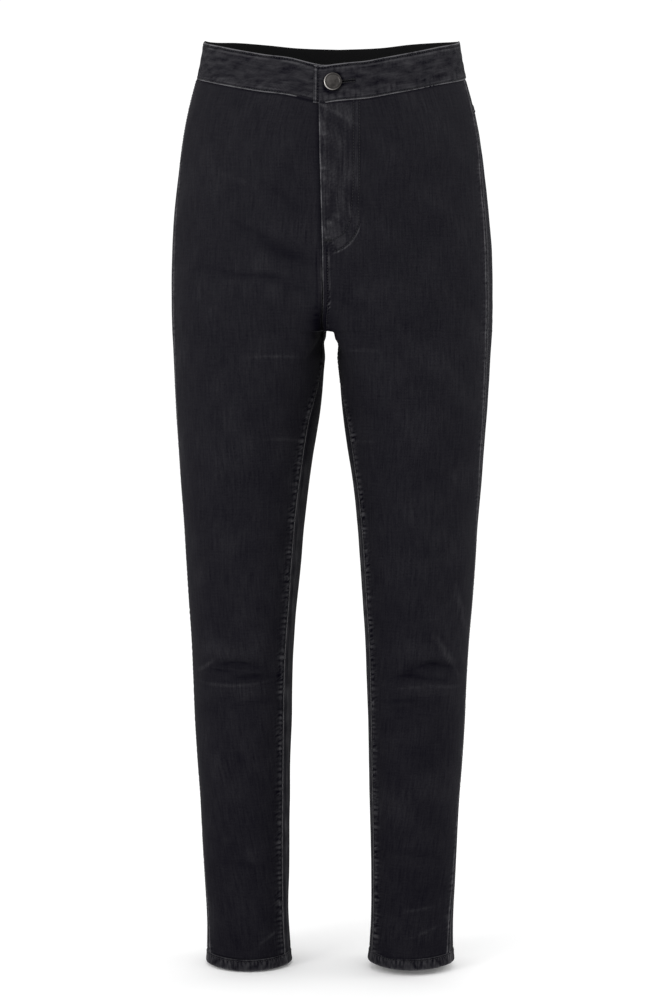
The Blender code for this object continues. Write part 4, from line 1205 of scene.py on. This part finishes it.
# %% Build the waistband
def band_relief(along, rise, x, on_tab):
    """Height and wear of the band's face from its position along it and its height on it. The
    wear also holds painted shade round the button and in the buttonhole's slit.
    """
    bend = 0.35 * waves([along], 0.110, 401) + 0.08 * waves([along], 0.030, 402)
    depth = 0.6 + 0.5 * waves([along, rise], 0.040, 404)
    ripple = depth * np.sin(2 * math.pi * (rise / RIPPLE_PITCH + bend))
    mottle = waves([0.7 * along, rise], 0.0075, 402)
    patch = waves([along, rise], 0.05, 403)
    edge_distance = np.minimum(rise, BAND_HEIGHT - rise)
    inward = ramp(edge_distance, 0.001, 0.006)
    height = (0.00022 * ripple + 0.00003 * mottle) * inward
    wear = 0.016 + RIPPLE_WEAR * ripple * inward + 0.014 * patch

    for row, wide, dark in ((BAND_STITCH_LOW, 0.0007, 0.25), (BAND_STITCH_HIGH, 0.0010, 0.60)):
        groove = bell(rise, row, wide) * dashes(along, 0.25)
        height -= 0.00035 * groove
        wear -= dark * groove
    lower, low_wear = puckers(along, rise, 0.00030, 405)
    upper, high_wear = puckers(along + 0.004, BAND_HEIGHT - rise, 0.00022, 407)
    uneven = 0.9 + 0.35 * waves([along], 0.03, 408) + 0.2 * waves([along], 0.007, 409)
    uneven = np.clip(uneven, 0.2, 1.4)
    folded = 1.8 * bell(rise, BAND_HEIGHT, 0.0010) + 1.15 * bell(rise, 0.0003, 0.0008)
    beside = 0.20 * bell(rise, BAND_HEIGHT - 0.0046, 0.0008) + 0.08 * bell(rise, 0.0042, 0.0010)
    height += lower + upper
    wear += low_wear + high_wear + (folded + beside) * uneven

    from_end = x - TAB_END_X
    tab_groove = on_tab * bell(from_end, TAB_STITCH, 0.0008)
    tab_ridge = 1.3 * bell(from_end, 0.0028, 0.0006) + 0.35 * bell(from_end, 0.0003, 0.0006)
    tab_ridge *= on_tab
    height += 0.0002 * tab_ridge - 0.0004 * tab_groove
    wear += 0.55 * tab_ridge * np.clip(uneven, 0.5, 1.2) - 0.40 * tab_groove
    # Round the button the tab is dented a little and painted darker in a ring: the button's painted
    # shadow.
    off_button = np.hypot(x - BUTTON_X, rise - BUTTONHOLE_RISE)
    button_dent_and_shadow = on_tab * bell(off_button, BUTTON_RADIUS, 0.0015)
    height -= 0.0002 * button_dent_and_shadow
    wear -= 0.35 * button_dent_and_shadow

    off_slit = np.abs(rise - BUTTONHOLE_RISE)
    in_length = on_tab * ramp(x, BUTTON_X - 0.001, BUTTON_X + 0.001)
    in_length *= 1 - ramp(x, BUTTONHOLE_END_X - 0.0012, BUTTONHOLE_END_X + 0.0012)
    slit = in_length * bell(off_slit, 0, 0.0008)
    satin = in_length * bell(off_slit, 0.0014, 0.0012)
    # Painted shade: the slit is sunk and painted darker, as shade in the opening.
    height += 0.00025 * satin - 0.0010 * slit
    wear -= 0.6 * slit + 0.30 * satin
    return height, wear


heights, depths, on_face = folded_profile(
    BAND_HEIGHT, BAND_CLOTH, band_face_rows(), np.linspace(0, 1, 9)
)
turns = band_turns()[:, None]
on_tab = (turns < math.pi / 2).astype(float)
wide_at_seam = section("outer", waist_seam_z(0.0))
band_x = wide_at_seam * np.sin(turns)
drop = TAB_DROP * on_tab * (1 - ramp(band_x, TAB_END_X, TAB_DROP_X))
band_z = waist_seam_z(turns) + heights - drop
outer_at, front_at, back_at = (section(key, band_z) for key in ("outer", "front", "back"))
reach = np.where(np.cos(turns) > 0, front_at, back_at)
x, y = outer_at * np.sin(turns), -reach * np.cos(turns)
band_normal = unit(np.stack([x / outer_at**2, y / reach**2, np.zeros_like(x)], -1))
band_along = walk(np.stack([x, y, 0 * x], -1), axis=0)
band_height, band_wear = band_relief(band_along, heights + 0 * turns, x, on_tab)

under_turns = 2 * math.pi + np.arcsin(np.array(BAND_RAMP_X) / wide_at_seam)
under = BAND_UNDER_DEPTH * ramp(turns, *under_turns)
from_end = np.minimum(band_along, band_along[-1:] - band_along)
pinch = np.sqrt(1 - np.clip(1 - from_end / (BAND_CLOTH / 2), 0, 0.94) ** 2)
depth = BAND_CLOTH / 2 + (depths - BAND_CLOTH / 2) * pinch + under - BAND_PROUD
band_points = np.stack([x, y, band_z], -1)
band_points = settle(band_points + band_normal * (band_height * on_face - depth)[..., None])
values = strip_values(band_wear, on_face)
waistband = add_rings("waistband_cloth", band_points, denim_worn, values, (heights, band_along))
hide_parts("waistband")
print(waistband.name, len(waistband.data.polygons), "faces")

# %% [markdown]
# ## The hems
#
# Each hem is turned up twice and stitched near its upper edge. The two folds never shift by the
# same amount, so washing leaves slanted rope-like ridges round it, and the fold at the bottom
# rubs pale. The ring is a grid like the waistband's, but closed.

# %% Build the hems
HEM_STATIONS = 220
HEM_STITCH = 0.0112
ROPE_PITCH = 0.0092
PINCH_PITCH = 0.0046
SEAM_BUMP = 0.0035


def hem_relief(along, rise, to_seam, seed):
    """Height and wear of a hem's face; to_seam is the distance to the nearest seam."""
    rope = ridges((along + 0.7 * rise) / ROPE_PITCH + 0.5 * waves([along], 0.05, seed))
    uneven = varied([along], 0.03, seed + 1, 0.8, 0.5, 0.2, 1.5)
    rope *= bell(rise, 0.0058, 0.0050) * uneven
    groove = bell(rise, HEM_STITCH, 0.0008) * dashes(along, 0.4)
    bump = bell(to_seam, 0, SEAM_BUMP)
    pinch = ridges(along / PINCH_PITCH + 0.4 * waves([along], 0.04, seed + 4))
    pinch *= bell(rise, 0.0092, 0.0028)
    pinch *= varied([along], 0.022, seed + 5, 0.8, 0.6, 0.1, 1.8)
    edge = bell(rise, 0, 0.0014) * varied([along], 0.006, seed + 2, uneven, 0.3, 0.2, 1.5)
    upper = 0.22 * bell(rise, HEM_HEIGHT, 0.0007) * uneven
    height = 0.0005 * rope - 0.0004 * groove + 0.0006 * bump + 0.00025 * pinch
    wear = 0.14 * rope + 0.36 * pinch + 0.55 * edge + upper - 0.30 * groove
    return height, 0.06 + wear + bump * (0.22 + 0.6 * np.clip(pinch + edge, 0, 1))


def make_hem(half, seed):
    """The ring under both panels of a leg, evenly divided along its length."""
    rows = np.linspace(0, 1, 14)
    heights, depths, on_face = folded_profile(HEM_HEIGHT, HEM_CLOTH, rows, np.linspace(0, 1, 5))
    dense = np.linspace(0, 2, 1600)
    bottom = skin(dense[None], np.float64(3.0), waist_seam_z)
    walked = walk(bottom, axis=1)[0]
    along = np.linspace(0, walked[-1], HEM_STATIONS, endpoint=False)
    around = np.interp(along, walked, dense)[:, None]
    down = 2 + (HEM_Z + heights - CROTCH_Z) / (HEM_Z - CROTCH_Z)
    points = skin(around, down[None], waist_seam_z)
    ahead = np.roll(points, -1, axis=0) - np.roll(points, 1, axis=0)
    normal = np.stack([ahead[..., 1], -ahead[..., 0], 0 * ahead[..., 0]], -1)
    normal *= np.sign((normal * (points - points.mean(axis=0))).sum(-1, keepdims=True))
    normal = unit(normal)
    along = along[:, None] + 0 * heights
    side = np.interp(1.0, dense, walked)
    to_seam = np.minimum(np.minimum(along, walked[-1] - along), np.abs(along - side))
    height, wear = hem_relief(along, heights, to_seam, seed)
    flare = 0.0006 * (1 - ramp(heights, 0, 0.008))
    lift = (height + flare) * on_face + HEM_PROUD - depths
    mirror = np.array((half, 1, 1))
    points = settle((points + normal * lift[..., None]) * mirror)
    return points, normal * mirror, strip_values(wear, on_face), along, heights


hem_grids = {}
for node, half, seed in (("hem_left", LEFT, 501), ("hem_right", RIGHT, 521)):
    points, normal, values, along, heights_up = make_hem(half, seed)
    hem = add_rings(
        f"{node}_cloth", points, denim_worn, values, (along, heights_up), closed=True
    )
    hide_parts(node)
    hem_grids[node] = (points, normal, heights_up)
    print(hem.name, len(hem.data.polygons), "faces")

# %% [markdown]
# ## Stitches
#
# A lockstitch shows as short bars of thread in line, each dipping into the cloth at both ends.
# One bar is four rings of six points, thin at the ends. A whole seam is that bar repeated along
# a line on the cloth, so a single function sews everything from the hems to the fly.

# %% Bars of thread
BAR_SIDES = 6
BAR_STATIONS = np.array([0.0, 0.22, 0.78, 1.0])
BAR_LIFT = np.array([-0.9, 0.45, 0.45, -0.9])
BAR_WIDTH = np.array([0.45, 1.0, 1.0, 0.45])
THREAD_RADIUS = 0.00034
BAR_LENGTH_SHARE = 0.80


def ways_of(centres):
    """The direction of each bar, the same at all of its stations."""
    return unit(np.broadcast_to(centres[:, -1:] - centres[:, :1], centres.shape))


def bars(centres, normals, ways, radius):
    """Rings of points round bars: centres, normals and ways are arrays of bars by stations."""
    sides = np.cross(ways, normals)
    turn = np.linspace(0, 2 * math.pi, BAR_SIDES, endpoint=False)
    wide = (radius * BAR_WIDTH)[None, :, None, None]
    ring = (
        np.cos(turn)[None, None, :, None] * sides[:, :, None]
        + np.sin(turn)[None, None, :, None] * normals[:, :, None] * 0.8
    )
    return centres[:, :, None] + wide * ring


def bar_faces(count):
    """Faces of many bars: three bands of sides and two quads over each end."""
    stations = len(BAR_STATIONS)
    index = np.arange(stations * BAR_SIDES).reshape(stations, BAR_SIDES)
    after = np.roll(index, -1, axis=1)
    sides = np.stack([index[:-1], after[:-1], after[1:], index[1:]], -1).reshape(-1, 4)
    start, end = index[0], index[-1]
    caps = [start[[3, 2, 1, 0]], start[[5, 4, 3, 0]], end[[0, 1, 2, 3]], end[[0, 3, 4, 5]]]
    one = np.concatenate([sides, caps])
    return (one[None] + np.arange(count)[:, None, None] * stations * BAR_SIDES).reshape(-1, 4)


def bars_on_line(line, pitch=STITCH_PITCH, radius=THREAD_RADIUS):
    """Bars of thread along a line of points with their normals, six numbers a row."""
    walked = walk(line[None, :, :3], axis=1)[0]
    count = int(walked[-1] / pitch)
    start = np.arange(count)[:, None] * pitch
    at = start + (0.5 + (BAR_STATIONS - 0.5) * BAR_LENGTH_SHARE) * pitch
    found = np.stack([np.interp(at, walked, line[:, k]) for k in range(6)], -1)
    centres, normals = found[..., :3], unit(found[..., 3:])
    ways = ways_of(centres)
    normals = unit(normals - ways * (normals * ways).sum(-1, keepdims=True))
    return bars(centres + normals * (radius * BAR_LIFT)[None, :, None], normals, ways, radius)


def sew(name, lines, pitch=STITCH_PITCH):
    """All the stitches of one piece of cloth as one mesh."""
    rings = np.concatenate([bars_on_line(line, pitch) for line in lines])
    piece = add_piece(name, rings, bar_faces(len(rings)), thread_black)
    print(name, len(rings), "stitches")
    return piece

# %% [markdown]
# ### Lines to sew along
#
# Every row of stitches keeps its distance from a seam. On a grid whose columns are measured from
# the seam, such a line is read off by interpolation. A free curve, such as the J of the fly, is
# drawn as seen from the front and dropped onto the cloth at the nearest point.

# %% Lines on the cloth
def line_at(panel, edge, distance, rows=slice(None)):
    """Points and normals where a panel is this far from one of its edges."""
    both = np.concatenate([panel.outer, panel.normal * panel.mirror], -1)
    apart = {
        "first": panel.first, "last": panel.last, "seam": panel.to_seam,
        "top": panel.from_top.T, "bottom": panel.from_bottom.T,
    }[edge]
    both = both.transpose(1, 0, 2) if edge in ("top", "bottom") else both
    if edge in ("last", "bottom"):
        both, apart = both[:, ::-1], apart[:, ::-1]
    return np.array([
        [np.interp(distance, far, row[:, k]) for k in range(6)]
        for row, far in zip(both[rows], apart[rows])
    ])


def rows_between(panel, edge_column, high, low):
    """Which rows have the seam's point between two heights."""
    z = panel.z[:, edge_column]
    return np.flatnonzero((z < high) & (z > low))


def on_cloth(panel, x, z):
    """Points and normals on a front where a curve, seen from the front, meets it."""
    points = panel.outer.reshape(-1, 3)
    normals = (panel.normal * panel.mirror).reshape(-1, 3)
    apart = (points[None, :, 0] - x[:, None]) ** 2 + (points[None, :, 2] - z[:, None]) ** 2
    nearest = apart.argmin(axis=1)
    at, normal = points[nearest], normals[nearest]
    slope = normal[:, 0] * (x - at[:, 0]) + normal[:, 2] * (z - at[:, 2])
    y = at[:, 1] - slope / normal[:, 1]
    return np.concatenate([np.stack([x, y, z], -1), normal], -1)


BAR_TACK_Z = -0.1955
LEG_STITCHES_END_Z = HEM_Z + HEM_HEIGHT + 0.001
fly_lines = [on_cloth(left_front, x, z) for x, z in j_rows]
tack = [
    on_cloth(left_front, np.linspace(0.0020, 0.0105, 12), np.full(12, BAR_TACK_Z + step))
    for step in (0.0, 0.0009, 0.0018)
]
below_fly = rows_between(left_front, 0, -0.205, CROTCH_Z + 0.0005)
sewn = {}
for node in ("front_left", "front_right"):
    panel = panels[node]
    inseam = rows_between(panel, 0, CROTCH_Z - 0.004, LEG_STITCHES_END_Z)
    side = rows_between(panel, -1, waist_seam_z(SIDE_TURN_WAIST) - 0.001, LEG_STITCHES_END_Z)
    lines = [
        line_at(panel, "first", LEG_STITCH_LINE, inseam),
        line_at(panel, "last", LEG_STITCH_LINE, side),
    ]
    if node == "front_left":
        lines += fly_lines + [line_at(panel, "seam", STITCH_LINE, below_fly)]
    sewn[node] = [sew(f"{node}_stitches", lines)]
sewn["front_left"].append(sew("fly_bar_tack", tack, pitch=0.0012))

# %% [markdown]
# ### Sew the back, the band and the hems
#
# The yokes and the seat seam have two rows, because they carry the most strain. The waistband is
# stitched along both edges and across the end of its tab, and each hem once. The buttonhole is
# worked round with bars that lie across its edge, side by side.

# %% More rows of stitches
EDGE_ROW = 0.0016
for node in ("yoke_left", "yoke_right", "back_left"):
    panel = panels[node]
    lines = []
    if node != "back_left":
        lines += [line_at(panel, "bottom", EDGE_ROW), line_at(panel, "bottom", STITCH_LINE)]
    if panel.half == LEFT:
        seat = rows_between(panel, -1, 1.0, CROTCH_Z + 0.001)
        lines += [line_at(panel, "last", far, seat) for far in (EDGE_ROW, STITCH_LINE)]
    sewn[node] = [sew(f"{node}_stitches", lines)]

face_rows = np.flatnonzero(on_face == 1)
face_rise = heights[face_rows]
band_both = np.concatenate([band_points, band_normal], -1)[:, face_rows]


def band_line(rise, stations=slice(None)):
    """A line along the waistband at one height on its face."""
    low = np.searchsorted(face_rise, rise) - 1
    share = (rise - face_rise[low]) / (face_rise[low + 1] - face_rise[low])
    return (band_both[:, low] * (1 - share) + band_both[:, low + 1] * share)[stations]


band_lines = [band_line(BAND_STITCH_LOW), band_line(BAND_STITCH_HIGH)]
tab_station = int(TAB_STITCH / BAND_FINE_STEP)
up_the_tab = (face_rise > BAND_STITCH_LOW) & (face_rise < BAND_STITCH_HIGH)
band_lines.append(band_both[tab_station][up_the_tab])
waistband_thread = sew("waistband_stitches", band_lines)

for node, (points, normal, heights_up) in hem_grids.items():
    row = np.abs(heights_up[:14] - HEM_STITCH).argmin()
    ring = np.concatenate([points[:, row], normal[:, row]], -1)
    sewn[node] = [sew(f"{node}_stitches", [np.concatenate([ring, ring[:1]])])]

# %% [markdown]
# ## The buttonhole's edge
#
# Satin stitch is a bar of thread every half millimetre, laid across the edge of the slit. The
# bars go from the slit to about two millimetres above and below its middle.

# %% Work the buttonhole
SATIN_PITCH = 0.00055
SATIN_LIFT = 0.00022
SATIN_RADIUS = 0.00026
SATIN_SPAN = np.array((0.0004, 0.0019))  # from the middle of the slit
hole_x = np.arange(BUTTON_X + 0.006, BUTTONHOLE_END_X, SATIN_PITCH)
near_tab = turns[:, 0] < 0.4


def on_band(x, rise):
    """Points and normals of the tab's face at these distances from the middle and heights."""
    line = band_line(rise, near_tab)
    return np.stack([np.interp(x, line[:, 0], line[:, k]) for k in range(6)], -1)


def satin(near, far):
    """One bar for each x, from one height to another."""
    first, last = on_band(hole_x, near), on_band(hole_x, far)
    mid = (first + (last - first) * BAR_STATIONS[:, None, None]).transpose(1, 0, 2)
    centres, normals = mid[..., :3], unit(mid[..., 3:])
    lifted = centres + normals * (SATIN_LIFT * (1 + BAR_LIFT))[None, :, None]
    return bars(lifted, normals, ways_of(centres), SATIN_RADIUS)


satin_rings = np.concatenate([satin(*(BUTTONHOLE_RISE + way * SATIN_SPAN)) for way in (1, -1)])
buttonhole = add_piece(
    "buttonhole_stitches", satin_rings, bar_faces(len(satin_rings)), thread_black
)
print(len(satin_rings), "bars round the buttonhole")

# %% [markdown]
# ## The button
#
# A tack button is a cap pressed over a shank, with a nail hammered through from behind. The cap
# has a shallow dish inside a rolled rim. It is one profile turned about the button's axis, and
# fine enough here to catch a clean highlight on the rim. Its colour adds a painted highlight on
# one side of the rim, with painted shade round the outer edge and at the foot of the rim.

# %% Turn the button
BUTTON_STEPS = 96
HIGHLIGHT_SIDE = math.radians(205)
CAP_PROFILE = (  # shares of the radius, and heights
    (0.00, 0.00262), (0.30, 0.00262), (0.56, 0.00266), (0.66, 0.00272), (0.72, 0.00286),
    (0.77, 0.00312), (0.82, 0.00330), (0.88, 0.00332), (0.93, 0.00312), (0.97, 0.00270),
    (0.995, 0.00205), (1.00, 0.00140), (0.985, 0.00080), (0.94, 0.00030), (0.84, 0.00005),
)
SHANK_AND_RIVET = (  # radii and heights
    (0.0026, 0.00005), (0.0020, 0.0004), (0.0020, -0.0026), (0.0010, -0.0028), (0.0010, -0.0054),
    (0.0040, -0.0054), (0.0042, -0.0057), (0.0036, -0.0064), (0.0020, -0.0067), (0.0, -0.0067),
)
PIN_RADIUS = 0.00002  # how far from the axis both ends of the profile stay


def button_frame():
    """Origin on the skin and three axes: across, up and out of the cloth."""
    step = BUTTON_RADIUS / 2
    here = body_point(BUTTON_X, BUTTON_Z, 0)
    aside = body_point(BUTTON_X + step, BUTTON_Z, 0) - body_point(BUTTON_X - step, BUTTON_Z, 0)
    above = body_point(BUTTON_X, BUTTON_Z + step, 0) - body_point(BUTTON_X, BUTTON_Z - step, 0)
    across, out = unit(aside), unit(np.cross(aside, above))
    return here, across, np.cross(out, across), out


def turned(profile, steps):
    """Points of a profile of radii and heights turned about the button's axis."""
    radius, height = np.array(profile).T
    turn = np.linspace(0, 2 * math.pi, steps, endpoint=False)[:, None]
    here, across, up, out = button_frame()
    ring = np.cos(turn)[..., None] * across + np.sin(turn)[..., None] * up
    return here + ring * radius[None, :, None] + out * height[None, :, None]


seat = BAND_PROUD + 0.0003
button_profile = [(share * BUTTON_RADIUS, seat + height) for share, height in CAP_PROFILE]
button_profile += SHANK_AND_RIVET
for end in (0, -1):
    button_profile[end] = (PIN_RADIUS, button_profile[end][1])
button_points = turned(button_profile, BUTTON_STEPS)
clock = np.linspace(0, 2 * math.pi, BUTTON_STEPS, endpoint=False)[:, None]
off_side = angle_off(clock - HIGHLIGHT_SIDE)
rim_share = np.array([radius for radius, _ in button_profile]) / BUTTON_RADIUS
on_front = np.arange(len(button_profile)) < len(CAP_PROFILE)
# Painted light on the button: a painted highlight on one side of the rim, a little lighter towards
# the upper left, painted shadow round the outer edge away from the highlight, and painted shade at
# the foot of the rim. It is stored as the button's wear.
lit_side = np.cos(clock - math.radians(140)) * rim_share
rim = 0.95 * bell(off_side, 0, 1.15) * bell(rim_share, 0.92, 0.055) + 0.06 * lit_side
outline_shadow = 0.8 * ramp(rim_share, 0.94, 0.995) * (1 - bell(off_side, 0, 1.3))
button_light_and_shade = (rim - outline_shadow - 0.45 * bell(rim_share, 0.79, 0.035)) * on_front
button = add_rings("tack_button", button_points, gunmetal, {"wear": button_light_and_shade}, closed=True)
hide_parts("button")
print(button.name, len(button.data.polygons), "faces")

# %% [markdown]
# ## Behind the lap
#
# Seen from above, the fly opens on a shield of cloth, the zip's tape and its metal teeth. The
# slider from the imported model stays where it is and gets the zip's brass. The teeth are short
# bars across the chain, two sets that mesh half a pitch apart.

# %% Fly shield, tape and teeth
ZIP_X = (-0.008, 0.018)
ZIP_CHAIN_X = (0.0034, 0.0086)
ZIP_TAPE_DEPTH = (0.0030, 0.0040)
ZIP_END_Z = -0.188
SHIELD_X = (-0.008, 0.024)
SHIELD_DEPTH = (0.0048, 0.0060)
SHIELD_END_Z = -0.192
HIDDEN_GAP = 0.0006
TOOTH_PITCH = 0.0016
TOOTH_RADIUS = 0.00055
TOOTH_REACH = np.array((-0.0006, 0.0, 0.0014, 0.0024))  # its stations, from the chain's middle


def strip(name, span, depths, end_z, node):
    """A strip of cloth down the front behind the lap."""
    x = np.linspace(*span, 16)
    start = waist_seam_z(np.arcsin(x / wide_at_seam)) - HIDDEN_GAP
    z = start + (end_z - start) * np.linspace(0, 1, 90)[:, None]
    wavy = 0.0002 * waves([x, z], 0.02, 611)
    outer = settle(body_point(x, z, depths[0] + wavy))
    inner = settle(body_point(x, z, depths[1] + wavy))
    wear = 0.15 * bell(np.abs(x - sum(span) / 2), (span[1] - span[0]) / 2, 0.001) + 0 * z
    piece = add_shell(name, outer, inner, wear, x + 0 * z, z, denim_inside)
    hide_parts(node)
    return piece


shield = strip("fly_shield_cloth", SHIELD_X, SHIELD_DEPTH, SHIELD_END_Z, "fly_shield")
tape = strip("zip_tape_cloth", ZIP_X, ZIP_TAPE_DEPTH, ZIP_END_Z, "zip_tape")

tooth_z = np.arange(waist_seam_z(0.0) - 0.004, ZIP_END_Z + 0.003, -TOOTH_PITCH)
chain_middle = sum(ZIP_CHAIN_X) / 2
tooth_sets = []
for way, shift in ((1, 0.0), (-1, TOOTH_PITCH / 2)):
    reach = chain_middle + way * TOOTH_REACH
    centres = body_point(reach[None], (tooth_z - shift)[:, None], ZIP_TAPE_DEPTH[0] - 0.0001)
    on_skin, below = (body_point(reach[None], tooth_z[:, None], deep) for deep in (0.0, 0.001))
    out = unit(on_skin - below)
    tooth_sets.append(settle(bars(centres, out, ways_of(centres), TOOTH_RADIUS)))
teeth_rings = np.concatenate(tooth_sets)
teeth = add_piece("zip_teeth", teeth_rings, bar_faces(len(teeth_rings)), zip_brass)
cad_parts["zip_slider"].data.materials.clear()
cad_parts["zip_slider"].data.materials.append(zip_brass)
print(len(teeth_rings), "zip teeth")

# %% [markdown]
# ## The cut of the cloth
#
# The fronts and backs are long, shaped pieces, so their flat area is less than that of the
# rectangle they are cut from. Stretch denim that is filled out by a body is a little wider than
# its pattern.

# %% [markdown]
# ## Camera and light
#
# The jeans were photographed from a little to their left, at the height of the hips, with a long
# lens. The light is a bright, even studio: a white world fills every shadow, and one large soft
# lamp from the upper left shapes the folds. The floor is as pale as the background.

# %% Camera, lamps and floor
CAMERA_DISTANCE = 2.65
CAMERA_Z = -0.2553
CAMERA_AZIMUTH = math.radians(5)
CAMERA_PITCH = math.radians(4.8)
CAMERA_PAN = math.radians(-0.1057)
LENS_MM = 87.07
FLOOR_REACH = 12.0
FLOOR_CORNERS = ((-1, -1), (1, -1), (1, 1), (-1, 1))

camera = new_object("camera", bpy.data.cameras.new("camera"))
camera.data.lens = LENS_MM
camera.data.sensor_width = 36
camera.location = (
    CAMERA_DISTANCE * math.sin(CAMERA_AZIMUTH),
    -CAMERA_DISTANCE * math.cos(CAMERA_AZIMUTH),
    CAMERA_Z,
)
camera.rotation_euler = (math.pi / 2 - CAMERA_PITCH, 0, CAMERA_AZIMUTH + CAMERA_PAN)
bpy.context.scene.camera = camera

world = bpy.data.worlds.new("studio")
world.use_nodes = True
background = world.node_tree.nodes["Background"].inputs
background["Color"].default_value = (1, 1, 1, 1)
background["Strength"].default_value = 1.06
bpy.context.scene.world = world
bpy.context.scene.view_settings.view_transform = "Standard"


def add_lamp(name, location, target, size, watts):
    """A square area lamp aimed at a point."""
    lamp = bpy.data.lights.new(name, "AREA")
    lamp.size = size
    lamp.energy = watts
    placed = new_object(name, lamp)
    placed.location = location
    aim = Vector(target) - Vector(location)
    placed.rotation_euler = aim.to_track_quat("-Z", "Y").to_euler()


add_lamp("key", (-1.6, -1.9, 0.5), (0, 0, -0.45), 0.9, 17)
add_lamp("rim", (1.9, 0.3, 0.2), (0, 0, -0.45), 0.8, 6)

floor_mesh = bpy.data.meshes.new("floor")
floor_z = HEM_Z - RIGHT_HEM_DROP - HEM_DIP - 0.001
corners = [(x * FLOOR_REACH, y * FLOOR_REACH, floor_z) for x, y in FLOOR_CORNERS]
floor_mesh.from_pydata(corners, [], [(0, 1, 2, 3)])
floor = new_object("floor", floor_mesh)
glow = {"Emission Color": (1, 1, 1, 1), "Emission Strength": 0.08}
floor_finish, floor_shader, floor_spot = new_material("floor", {"Specular IOR Level": 0.1, **glow})
grain = floor_spot.noise(3.0, 3.0)
pale = floor_spot.mix(grain, (0.93, 0.93, 0.93, 1), (0.95, 0.95, 0.95, 1))
join_all(floor_shader, floor_spot, {"Base Color": pale, "Roughness": 0.8 + 0.1 * grain})
floor_mesh.materials.append(floor_finish)
